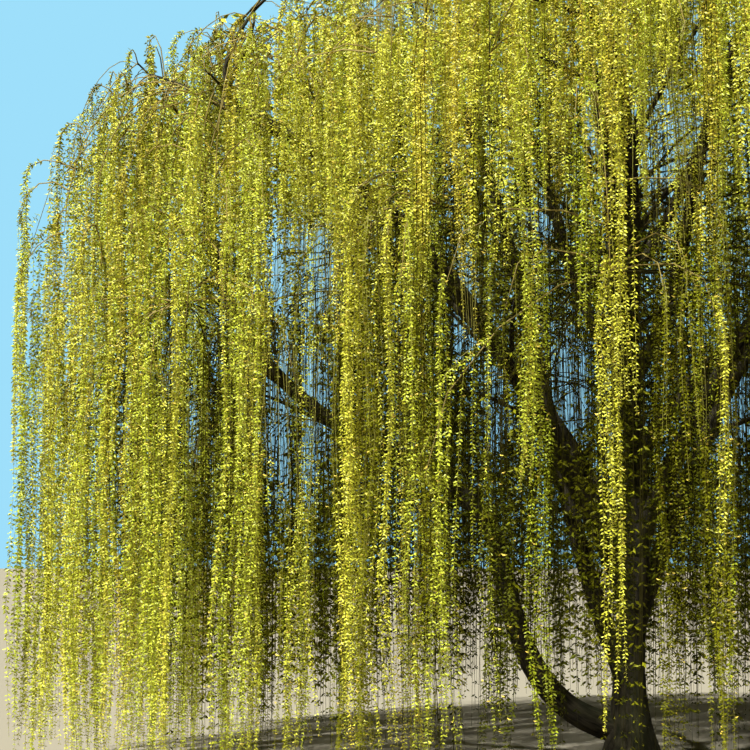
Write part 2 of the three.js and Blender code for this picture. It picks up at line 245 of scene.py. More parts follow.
class Limb(Protocol):
    """What the trunk, the boughs and the branches have in common."""

    name: str

    def point(self, share: float) -> Array:
        """Gives the point at a share of the limb."""

    def tangent(self, share: float) -> Array:
        """Gives the direction at a share of the limb."""

    def radius(self, share: float) -> float:
        """Gives the radius at a share of the limb."""


@dataclass(frozen=True)
class Trunk:
    """The leader, with a sway to the right at half its height, on a foot with root ridges."""

    name: str = "trunk"
    height: float = 7.7
    taper_height: float = 9.0
    stem_radius: float = 0.16
    flare: float = 0.265
    flare_fall: float = 0.44
    sway: float = 0.17
    sway_from: float = 0.6
    sway_to: float = 5.5
    lean: float = -0.11
    drift: float = 0.09
    ridges: int = 5
    ridge_depth: float = 0.15
    ridge_fall: float = 0.33
    ridge_turn: float = 1.0

    def at(self, height: float) -> Array:
        """Gives the middle of the trunk at a height."""
        along = (height - self.sway_from) / (self.sway_to - self.sway_from)
        swayed = self.sway * (1 - math.cos(2 * math.pi * min(max(along, 0.0), 1.0))) / 2
        share = (height / self.height) ** 2
        return np.array((swayed + self.lean * share, self.drift * share, height))

    def radius_at(self, height: float) -> float:
        """Gives the mean radius of the trunk at a height."""
        slender = self.stem_radius * math.sqrt(1 - height / self.taper_height)
        return slender + self.flare * math.exp(-height / self.flare_fall)

    def point(self, share: float) -> Array:
        """Gives the point at a share of the trunk."""
        return self.at(share * self.height)

    def tangent(self, share: float) -> Array:
        """Gives the direction at a share of the trunk, which is upright at its foot."""
        probe = MM
        height = share * self.height
        return unit(self.at(height + probe) - self.at(max(height - probe, 0.0)))

    def radius(self, share: float) -> float:
        """Gives the radius at a share of the trunk."""
        return self.radius_at(share * self.height)

    def swelling(self, turn: float, height: float) -> float:
        """Gives the swelling of the root ridges at a turn round the trunk and a height."""
        depth = self.ridge_depth * math.exp(-height / self.ridge_fall)
        return 1 + depth * math.cos(self.ridges * turn + self.ridge_turn)


@dataclass(frozen=True)
class Bough:
    """A limb that tapers evenly along a curve."""

    name: str
    curve: Bezier
    foot_radius: float
    tip_radius: float

    def point(self, share: float) -> Array:
        """Gives the point at a share of the limb."""
        return self.curve.point(share)

    def tangent(self, share: float) -> Array:
        """Gives the direction at a share of the limb."""
        return self.curve.tangent(share)

    def radius(self, share: float) -> float:
        """Gives the radius at a share of the limb."""
        return self.foot_radius + (self.tip_radius - self.foot_radius) * share


@dataclass(frozen=True)
class BoughPlan:
    """One row of the boughs' sizes: azimuths in degrees, heights and radii in metres."""

    side: str
    azimuth: float
    height: float
    tip_height: float
    foot_radius: float


@dataclass(frozen=True)
class Spread:
    """How boughs spread: the handles of their curves, as shares of reach and rise, and a turn."""

    reach: float
    out: float
    up: float
    far_out: float
    far_up: float
    veer: float


@dataclass(frozen=True)
class Knee:
    """The knee of the low left bough, and the handles of its curves below and above it."""

    reach: float = 1.48
    height: float = 2.56
    radius: float = 0.112
    lean: float = 0.3
    foot_out: float = 0.85
    foot_up: float = 0.12
    before: float = 0.7
    after: float = 1.15
    tip_out: float = 0.94
    tip_up: float = 0.9


@dataclass(frozen=True)
class Skeleton:
    """The trunk and the boughs, as the solids have them."""

    trunk: Trunk = Trunk()
    knee: Knee = Knee()
    seat: float = 0.3 * MM
    tip_radius: float = 0.062
    upper_tip_radius: float = 0.05
    outer_spread: Spread = Spread(4.9, 0.2, 0.4, 0.6, 0.86, 11)
    upper_spread: Spread = Spread(2.3, 0.46, 0.28, 0.4, 0.7, -14)
    outer: tuple[BoughPlan, ...] = (
        BoughPlan("left", 172, 0.43, 6.6, 0.15),
        BoughPlan("front_left", 214, 1.75, 6.6, 0.112),
        BoughPlan("front", 258, 3.0, 6.9, 0.096),
        BoughPlan("front_right", 303, 2.35, 6.8, 0.104),
        BoughPlan("right", 350, 3.45, 6.9, 0.094),
        BoughPlan("back_right", 35, 1.5, 6.7, 0.116),
        BoughPlan("back", 80, 2.7, 6.9, 0.1),
        BoughPlan("back_left", 126, 2.05, 6.8, 0.106),
    )
    upper: tuple[BoughPlan, ...] = (
        BoughPlan("left", 184, 0.9, 8.45, 0.112),
        BoughPlan("front", 252, 4.75, 8.7, 0.078),
        BoughPlan("front_right", 312, 4.25, 8.6, 0.082),
        BoughPlan("right", 10, 5.35, 8.75, 0.072),
        BoughPlan("back_right", 72, 4.95, 8.7, 0.076),
        BoughPlan("back_left", 132, 4.5, 8.65, 0.08),
    )

    def arched(self, plan: BoughPlan, spread: Spread) -> Bezier:
        """Gives the curve of a bough that rises, spreads and flattens, and veers a little.

        Args:
            plan: the bough's sizes.
            spread: how such boughs spread.

        Returns:
            The curve, from the middle of the trunk to the bough's tip.
        """
        foot = self.trunk.at(plan.height)
        rise = plan.tip_height - plan.height
        near = foot + polar(
            plan.azimuth - spread.veer, spread.reach * spread.out, rise * spread.up)
        far = polar(
            plan.azimuth + spread.veer, spread.reach * spread.far_out,
            plan.height + rise * spread.far_up)
        return Bezier((foot, near, far, polar(plan.azimuth, spread.reach, plan.tip_height)))

    def kneed(self, plan: BoughPlan) -> tuple[Bough, Bough]:
        """Gives the parts of the low left bough.

        Args:
            plan: the bough's sizes.

        Returns:
            The parts below and above its knee.
        """
        knee, reach = self.knee, self.outer_spread.reach
        rising = unit(polar(plan.azimuth, knee.lean, 1.0))
        bend = polar(plan.azimuth, knee.reach, knee.height)
        seat = bend + rising * self.seat
        lower = Bezier((
            self.trunk.at(plan.height),
            polar(plan.azimuth, knee.reach * knee.foot_out, plan.height + knee.foot_up),
            bend - rising * knee.before,
            bend))
        upper = Bezier((
            seat,
            seat + rising * knee.after,
            polar(plan.azimuth, reach * knee.tip_out, knee.height + knee.tip_up),
            polar(plan.azimuth, reach, plan.tip_height)))
        return (
            Bough("left_bough", lower, plan.foot_radius, knee.radius),
            Bough("left_bough_upper", upper, knee.radius, self.tip_radius))

    def boughs(self) -> dict[str, Bough]:
        """Gives all the boughs by the names of their nodes."""
        made: list[Bough] = []
        for plan in self.outer:
            if plan.side == "left":
                made.extend(self.kneed(plan))
            else:
                curve = self.arched(plan, self.outer_spread)
                made.append(Bough(
                    f"{plan.side}_bough", curve, plan.foot_radius, self.tip_radius))
        for plan in self.upper:
            curve = self.arched(plan, self.upper_spread)
            made.append(Bough(
                f"upper_{plan.side}_bough", curve, plan.foot_radius, self.upper_tip_radius))
        return {bough.name: bough for bough in made}


@dataclass(frozen=True)
class MassSizes:
    """The sizes of a kind of mass: its stem's crest, and where its main tresses hang."""

    crest: float
    tresses: int
    sector: float
    inner: float
    outer: float
    spacing: float


class Kind(Enum):
    """The kinds of foliage mass."""

    CURTAIN = MassSizes(5.55, 5, 15, 5.4, 6.72, 0.56)
    SHOULDER = MassSizes(3.85, 6, 28, 2.6, 5.3, 0.64)
    TOP = MassSizes(2.0, 5, 34, 0.7, 2.9, 0.56)
    MIDDLE = MassSizes(0.0, 5, 180, 0.0, 1.3, 0.52)


@dataclass(frozen=True)
class Mass:
    """A mass of foliage: its node, its kind and the middle of its space, and how it starts."""

    name: str
    kind: Kind
    start: Array
    heading: Array
    middle: Array
    azimuth: float
    seed: int


class Tint(Enum):
    """The plain base colours of the leaves, dealt out by spray."""

    # The deep and shaded tints are painted shade. The sunny tint is also painted light where it
    # tops shady tresses.
    SUNNY = "sunny"
    GOLDEN = "golden"
    LIME = "lime"
    FRESH = "fresh"
    OLIVE = "olive"
    DEEP = "deep"
    SHADED = "shaded"
    BARE = "bare"


@dataclass(frozen=True)
class RankHabit:
    """How the shoots of a rank of tresses hang, against those of a plain tress.

    There are more of them, over a wider spread, with more ragged ends, from a stretch of the
    arch, of a thickness and with shares of the tints. Those in the shade have a dark skin, which
    is painted shade.
    """

    more: float
    spread: float
    ragged: float
    leave: tuple[float, float]
    thickness: float
    tints: Mapping[Tint, float]
    dark: bool = False


class Rank(Enum):
    """The ranks: tresses of the solids, leading, finer and shady ones, and ones deep inside."""

    MAIN = RankHabit(1.3, 1.3, 1.0, (0.3, 0.97), 1.0, {
        Tint.SUNNY: 0.42, Tint.LIME: 0.28, Tint.GOLDEN: 0.14, Tint.FRESH: 0.08, Tint.OLIVE: 0.08})
    LEADING = RankHabit(1.3, 0.78, 4.0, (0.3, 0.97), 1.0, {
        Tint.SUNNY: 0.42, Tint.LIME: 0.22, Tint.GOLDEN: 0.16, Tint.OLIVE: 0.2})
    FINER = RankHabit(1.0, 1.0, 1.0, (0.5, 0.97), 1.0, {
        Tint.SUNNY: 0.34, Tint.LIME: 0.25, Tint.GOLDEN: 0.09, Tint.FRESH: 0.11, Tint.OLIVE: 0.18,
        Tint.BARE: 0.03})
    # The shady and inner ranks darken their tresses with darker tints and a dark skin, as painted
    # shade.
    SHADY = RankHabit(1.0, 1.2, 1.5, (0.5, 0.97), 1.1, {
        Tint.FRESH: 0.3, Tint.OLIVE: 0.42, Tint.DEEP: 0.18, Tint.BARE: 0.1}, True)
    INNER = RankHabit(1.2, 1.5, 1.0, (0.4, 0.97), 1.3, {
        Tint.OLIVE: 0.2, Tint.DEEP: 0.36, Tint.SHADED: 0.22, Tint.BARE: 0.22}, True)


@dataclass(frozen=True)
class Tress:
    """A hanging tress: an arch off its carrier to its spot, then a fall to its low end."""

    arch: Bezier
    low: float
    rank: Rank

    @property
    def spot(self) -> Array:
        """The place that the tress hangs over."""
        return self.arch.handles[-1]


@dataclass(frozen=True)
class MassRule:
    """The rule of the masses: how their stems and tresses grow, as in the solids."""

    curtain_radius: float = 6.0
    curtain_turn: float = 11.25
    shoulder_radius: float = 3.37
    top_radius: float = 1.95
    curtain_places: tuple[float, float] = (330.0, 210.0)
    shoulder_place: float = 90.0
    seed_step: int = 10
    top_seed: int = 200
    middle_seed: int = 300
    stem_spread: float = 33 * MM
    stem_from: float = 0.35
    stem_over: float = 0.4
    stem_rise: float = 0.35
    stem_sink: float = 0.18
    stem_foot: float = 27 * MM
    stem_tip: float = 10 * MM
    tries: int = 120
    arch_from: float = 0.42
    shift: float = 0.3
    crest: float = 0.1
    drop: float = 0.75
    sink: float = 0.09
    more_sink: float = 0.42
    tier_sink: float = 1.5
    tier: int = 3
    shortest: float = 0.9
    tress_room: float = 0.235
    limb_room: float = 0.06
    limb_balls: int = 40


@dataclass(frozen=True)
class Hem:
    """Heights at which tresses end: low at the rim, high near the trunk, raised on one side."""

    low: float = 0.38
    ragged: float = 1.25
    high: float = 6.1
    inner: float = 2.7
    outer: float = 5.3
    even: float = 0.85
    raised: float = 1.7
    towards: float = 318.0
    narrowing: int = 4

    def height(self, spot: Array, draw: Callable[[], float]) -> float:
        """Gives the height at which a tress over a spot ends.

        Args:
            spot: the place that it hangs over.
            draw: gives the next random number between 0 and 1.

        Returns:
            The height of its low end.
        """
        inward = 1 - smoothstep(plan_radius(spot), self.inner, self.outer)
        turn = math.atan2(spot[1], spot[0]) - math.radians(self.towards)
        raised = self.raised * max(0.0, math.cos(turn)) ** self.narrowing * draw()
        ragged = self.ragged * draw() ** 2
        share = self.even + (1 - self.even) * draw()
        return self.low + raised + ragged + (self.high - self.low) * inward * share


@dataclass(frozen=True)
class FineRule:
    """How finer tresses fill the crown between the main ones, in two storeys.

    Those of the upper storey start near the crown's outline and end above the hem. Those of the
    lower storey start lower and reach the hem. On one side fewer of them do.
    """

    seed: int = 61
    tries: int = 30000
    reach: float = 6.84
    spacing: tuple[float, float, float] = (0.5, 0.42, 0.295)
    spacing_radii: tuple[float, float, float] = (2.0, 4.4, 5.3)
    raised: float = 0.3
    raised_radius: float = 3.0
    upper_share: float = 0.44
    upper_sink: float = 1.1
    upper_length: tuple[float, float] = (1.7, 3.6)
    lower_sink: float = 0.5
    lower_length: tuple[float, float] = (2.9, 5.2)
    open_from: float = 245.0
    open_to: float = 332.0
    open_radius: float = 2.8
    open_upper_share: float = 0.95
    shady_radius: float = 4.9


class LayerRule(Protocol):
    """Where the tresses of a layer hang, how closely, and how high they start and end."""

    rank: Rank
    seed: int
    tries: int
    radii: tuple[float, float]
    spacing: float

    def heights(self, roof: float, rng: Random) -> tuple[float, float]:
        """Gives the top and the low end of a tress under a roof."""


@dataclass(frozen=True)
class InnerRule:
    """How shaded tresses hang inside the crown, from lower branches."""

    # Their darker tints and dark skin are painted shade.
    rank: Rank = Rank.INNER
    seed: int = 67
    tries: int = 12000
    radii: tuple[float, float] = (0.7, 6.1)
    spacing: float = 0.28
    top: float = 3.2
    under_crown: float = 2.1
    low: tuple[float, float] = (0.5, 2.4)

    def heights(self, roof: float, rng: Random) -> tuple[float, float]:
        """Gives the top and the low end of a tress under a roof."""
        return rng.uniform(self.top, roof - self.under_crown), rng.uniform(*self.low)


@dataclass(frozen=True)
class ThatchRule:
    """How short tresses thatch the top of the crown between the finer ones."""

    rank: Rank = Rank.FINER
    seed: int = 71
    tries: int = 9000
    radii: tuple[float, float] = (0.5, 5.9)
    spacing: float = 0.3
    sink: tuple[float, float] = (-0.15, 1.3)
    length: tuple[float, float] = (1.1, 2.2)

    def heights(self, roof: float, rng: Random) -> tuple[float, float]:
        """Gives the top and the low end of a tress under a roof."""
        height = roof - rng.uniform(*self.sink)
        return height, height - rng.uniform(*self.length)


@dataclass(frozen=True)
class ArchRule:
    """How the arch of a finer tress leaves the carrier that suits its spot best."""

    limb_room: float = 0.07
    farthest: float = 1.8
    lead_farthest: float = 2.6
    outward_cost: float = 2.5
    crest: float = 0.12
    drop_share: float = 0.55
    drop: tuple[float, float] = (0.22, 0.75)


@dataclass
class Canopy:
    """The masses of foliage over the boughs, and the tresses that they hold."""

    skeleton: Skeleton
    crown: Outline = Outline()
    rule: MassRule = MassRule()
    fine: FineRule = FineRule()
    inner: InnerRule = InnerRule()
    thatch: ThatchRule = ThatchRule()
    arching: ArchRule = ArchRule()
    hem: Hem = Hem()
    fine_hem: Hem = Hem(low=0.3, ragged=0.5, inner=2.3, outer=4.5)
    boughs: dict[str, Bough] = field(init=False)
    masses: list[Mass] = field(init=False)
    balls: Array = field(init=False)

    def __post_init__(self) -> None:
        """Works out the boughs, the masses and the balls that stand for the limbs."""
        self.boughs = self.skeleton.boughs()
        self.masses = [
            *(m for i, plan in enumerate(self.skeleton.outer) for m in self.outer_masses(i, plan)),
            *(self.top_mass(i, plan) for i, plan in enumerate(self.skeleton.upper)),
            self.middle_mass(),
        ]
        limbs: list[Limb] = [self.skeleton.trunk, *self.boughs.values()]
        shares = np.linspace(0, 1, self.rule.limb_balls + 1)
        self.balls = np.array([(*limb.point(s), limb.radius(s)) for limb in limbs for s in shares])

    def stem_start(self, limb: Limb, place: float | None = None) -> Array:
        """Gives the start of a stem on a limb's end face.

        Args:
            limb: the limb that carries the stem.
            place: the turn round the face's middle in degrees, or None for the middle.

        Returns:
            The first point of the stem.
        """
        heading = limb.tangent(1.0)
        start = limb.point(1.0) + heading * self.skeleton.seat
        if place is None:
            return start
        side = unit(np.cross(UP, heading))
        above = np.cross(heading, side)
        turn = math.radians(place)
        return start + self.rule.stem_spread * (math.cos(turn) * side + math.sin(turn) * above)

    def outer_masses(self, index: int, plan: BoughPlan) -> list[Mass]:
        """Gives the masses that an outer bough carries.

        Args:
            index: the bough's order among the outer ones.
            plan: its sizes.

        Returns:
            The two curtains and the shoulder.
        """
        rule = self.rule
        limb = self.boughs["left_bough_upper" if plan.side == "left" else f"{plan.side}_bough"]
        turn, radius, (near, far) = rule.curtain_turn, rule.curtain_radius, rule.curtain_places
        rows = (
            ("curtain_1", Kind.CURTAIN, turn, radius, near),
            ("curtain_2", Kind.CURTAIN, -turn, radius, far),
            ("shoulder", Kind.SHOULDER, 0.0, rule.shoulder_radius, rule.shoulder_place),
        )
        return [
            Mass(f"{plan.side}_{name}", kind, self.stem_start(limb, place), limb.tangent(1.0),
                 polar(plan.azimuth + turn, radius), plan.azimuth + turn,
                 rule.seed_step * (index + 1) + order + 1)
            for order, (name, kind, turn, radius, place) in enumerate(rows)]

    def top_mass(self, index: int, plan: BoughPlan) -> Mass:
        """Gives the mass that an upper bough carries."""
        rule, limb = self.rule, self.boughs[f"upper_{plan.side}_bough"]
        return Mass(f"top_{plan.side}_mass", Kind.TOP, self.stem_start(limb), limb.tangent(1.0),
                    polar(plan.azimuth, rule.top_radius), plan.azimuth, rule.top_seed + index)

    def middle_mass(self) -> Mass:
        """Gives the mass on the leader's tip."""
        trunk = self.skeleton.trunk
        return Mass("top_middle_mass", Kind.MIDDLE, self.stem_start(trunk), trunk.tangent(1.0),
                    polar(0, 0), 0.0, self.rule.middle_seed)

    def in_space(self, mass: Mass, spot: Array, margin: float) -> bool:
        """Tells whether a spot is in a mass's space.

        Args:
            mass: the mass.
            spot: the spot, of which only its place in plan counts.
            margin: how far it has to stay inside the space's edges and the crown's rim.

        Returns:
            Whether it is nearer to this mass than to any other, by that margin.
        """
        away = plan_distance(spot, mass.middle)
        if plan_radius(spot) > self.crown.rim_radius - margin:
            return False
        return all(
            (plan_distance(spot, other.middle) ** 2 - away**2)
            / (2 * plan_distance(mass.middle, other.middle)) >= margin
            for other in self.masses if other is not mass)

    def clear_height(self, spot: Array, top: float, across: float, above: float) -> float:
        """Gives the lowest height to which a tress can hang clear of the limbs under it.

        Args:
            spot: the place that it hangs over.
            top: the height from which it hangs.
            across: the room it needs beside a limb.
            above: the room it needs over a limb.

        Returns:
            The height, or 0 where nothing is in its way.
        """
        x, y, z, radius = self.balls.T
        near = (z < top) & (np.hypot(x - spot[0], y - spot[1]) < radius + across)
        return float(max((z + radius + above)[near], default=0.0))

    def stem(self, mass: Mass) -> Bough:
        """Gives a mass's stem.

        Args:
            mass: the mass.

        Returns:
            The stem, which goes on from the mass's bough and comes over its crest.
        """
        rule, crest = self.rule, mass.kind.value.crest
        end = polar(mass.azimuth, crest)
        end = at_height(end, self.crown.height_over(end) - rule.stem_sink)
        chord = float(np.linalg.norm(end - mass.start))
        over = unit(unit(at_height(end - mass.start, 0.0)) + UP * rule.stem_rise)
        curve = Bezier((
            mass.start,
            mass.start + mass.heading * rule.stem_from * chord,
            end - over * rule.stem_over * chord,
            end))
        return Bough(mass.name, curve, rule.stem_foot, rule.stem_tip)

    def main_spots(self, mass: Mass, draws: Seeded) -> list[Array]:
        """Gives the spots of a mass's main tresses.

        Args:
            mass: the mass.
            draws: its random numbers, drawn in the same order as in the solids.

        Returns:
            The spots, which are apart from each other and clear of the limbs.
        """
        rule, sizes = self.rule, mass.kind.value
        spots: list[Array] = []
        for _ in range(rule.tries):
            if len(spots) == sizes.tresses:
                break
            azimuth = mass.azimuth + sizes.sector * (2 * draws.draw() - 1)
            spot = polar(azimuth, sizes.inner + (sizes.outer - sizes.inner) * draws.draw())
            apart = all(plan_distance(spot, other) >= sizes.spacing for other in spots)
            lowest = self.crown.height_over(spot) - rule.sink - rule.more_sink
            room = rule.limb_room + rule.tress_room
            clear = self.clear_height(spot, lowest, rule.tress_room, room)
            hangs = clear + rule.shortest < lowest - rule.drop
            if apart and hangs and self.in_space(mass, spot, rule.tress_room):
                spots.append(spot)
        return spots

    def main_tresses(self, mass: Mass) -> list[Tress]:
        """Gives a mass's main tresses.

        Args:
            mass: the mass.

        Returns:
            The tresses, on the same paths as in the solids.
        """
        rule, draws, stem = self.rule, Seeded(mass.seed), self.stem(mass)
        spots = self.main_spots(mass, draws)
        tresses: list[Tress] = []
        for index, spot in enumerate(spots):
            start = stem.point(rule.arch_from + (1 - rule.arch_from) * (index + 1) / len(spots))
            sink = rule.sink + rule.more_sink * draws.draw()
            lower = index % rule.tier == rule.tier - 1
            tier_sink = rule.tier_sink * draws.draw() if lower else 0.0
            height = self.crown.height_over(spot) - sink - tier_sink
            low = self.hem.height(spot, draws.draw)
            room = rule.limb_room + rule.tress_room
            hung = height - rule.drop
            low = max(low, self.clear_height(spot, hung, rule.tress_room, room))
            if hung - low < rule.shortest:
                continue
            draws.draw()  # the side of the twig on which its first leaf stands in the solids
            bend = at_height(start + (spot - start) * rule.shift, max(height, start[2]))
            arch = Bezier((
                start, bend, at_height(spot, height + rule.crest), at_height(spot, hung)))
            # Main tresses on the open side take the shady rank: painted shade in their darker tints
            # and dark skin, under tops of painted light.
            tresses.append(Tress(arch, low, Rank.SHADY if self.is_open(spot) else Rank.MAIN))
        return tresses

    def is_open(self, spot: Array) -> bool:
        """Tells whether a spot is on the side where the photo looks into the crown."""
        azimuth = math.degrees(math.atan2(spot[1], spot[0])) % 360
        fine = self.fine
        return plan_radius(spot) > fine.open_radius and fine.open_from < azimuth < fine.open_to

    def fine_tresses(self, mains: Sequence[Tress], carriers: Array) -> list[Tress]:
        """Gives the finer tresses that fill the crown between the main ones.

        Args:
            mains: the main tresses.
            carriers: points on the stems and branches that tresses can leave.

        Returns:
            The finer tresses, each from the carrier that suits its spot best.
        """
        fine = self.fine
        rng = np.random.default_rng(fine.seed)
        spots = np.array([tress.spot[:2] for tress in mains])
        tresses: list[Tress] = []
        for _ in range(fine.tries):
            radius = fine.reach * math.sqrt(rng.random())
            spot = polar(360 * rng.random(), radius)
            spacing = float(np.interp(radius, fine.spacing_radii, fine.spacing))
            if np.hypot(*(spots - spot[:2]).T).min() < spacing:
                continue
            height, low, rank = self.storey(spot, rng)
            tress = self.fine_tress(at_height(spot, height), low, carriers, rank)
            if tress is not None:
                tresses.append(tress)
                spots = np.vstack((spots, spot[:2]))
        return tresses

    def storey(self, spot: Array, rng: Random) -> tuple[float, float, Rank]:
        """Gives the heights at which a finer tress starts and ends, and its rank.

        Args:
            spot: the place that it hangs over.
            rng: the source of random numbers.

        Returns:
            The heights of its top and of its low end, and its rank.
        """
        fine, radius = self.fine, plan_radius(spot)
        roof = self.crown.height_over(spot) - self.rule.sink
        roof += fine.raised if radius > fine.raised_radius else 0.0
        hem = self.fine_hem.height(spot, rng.random)
        is_open = self.is_open(spot)
        if rng.random() < (fine.open_upper_share if is_open else fine.upper_share):
            height = roof - fine.upper_sink * rng.random()
            rank = Rank.MAIN if is_open else Rank.FINER
            return height, max(hem, height - rng.uniform(*fine.upper_length)), rank
        roof -= fine.lower_sink * rng.random()
        # Inside the crown the lower storey takes the shady rank, whose darker tints and dark skin
        # are painted shade.
        rank = Rank.SHADY if radius < fine.shady_radius else Rank.FINER
        return min(roof, hem + rng.uniform(*fine.lower_length)), hem, rank

    def layer(self, rule: LayerRule, carriers: Array) -> list[Tress]:
        """Gives the tresses of a layer inside the crown or of its thatch.

        Args:
            rule: where they hang, how closely and from where to where.
            carriers: points on the stems and branches that tresses can leave.

        Returns:
            The tresses.
        """
        rng = np.random.default_rng(rule.seed)
        spots = np.empty((0, 2))
        tresses: list[Tress] = []
        for _ in range(rule.tries):
            spot = polar(360 * rng.random(), rule.radii[1] * math.sqrt(rng.random()))
            near = len(spots) and np.hypot(*(spots - spot[:2]).T).min() < rule.spacing
            if near or plan_radius(spot) < rule.radii[0]:
                continue
            height, low = rule.heights(self.crown.height_over(spot), rng)
            tress = self.fine_tress(at_height(spot, height), low, carriers, rule.rank)
            if tress is not None:
                tresses.append(tress)
                spots = np.vstack((spots, spot[:2]))
        return tresses

    def fine_tress(
        self, spot: Array, low: float, carriers: Array, rank: Rank,
    ) -> Tress | None:
        """Gives one finer tress that arches to a spot.

        Args:
            spot: the top of its fall.
            low: the height at which it ends, unless a limb is in its way.
            carriers: the points that it can leave.
            rank: the rank that it gets.

        Returns:
            The tress, or None where it has no carrier or no room.
        """
        arching, height = self.arching, float(spot[2])
        distances = np.linalg.norm(carriers - spot, axis=1)
        outward = np.maximum(np.hypot(carriers[:, 0], carriers[:, 1]) - plan_radius(spot), 0.0)
        above = np.maximum(carriers[:, 2] - height, 0.0)
        best = int((distances + arching.outward_cost * (outward + above)).argmin())
        farthest = arching.lead_farthest if rank is Rank.LEADING else arching.farthest
        if distances[best] > farthest:
            return None
        drop = min(max(arching.drop_share * distances[best], arching.drop[0]), arching.drop[1])
        room = arching.limb_room
        low = max(low, self.clear_height(spot, height - drop, room, room))
        if height - drop - low < self.rule.shortest:
            return None
        start = carriers[best]
        bend = at_height(start + (spot - start) * self.rule.shift, max(height, start[2]))
        over = at_height(spot, height + arching.crest * drop)
        return Tress(Bezier((start, bend, over, at_height(spot, height - drop))), low, rank)


@dataclass(frozen=True)
class BranchHabit:
    """How branches leave a limb: where, how many, which way and how far."""

    first: float
    last: float
    count: int
    turn: tuple[float, float]
    reach: tuple[float, float]
    rise: tuple[float, float]
    thickness: float
    tip: float


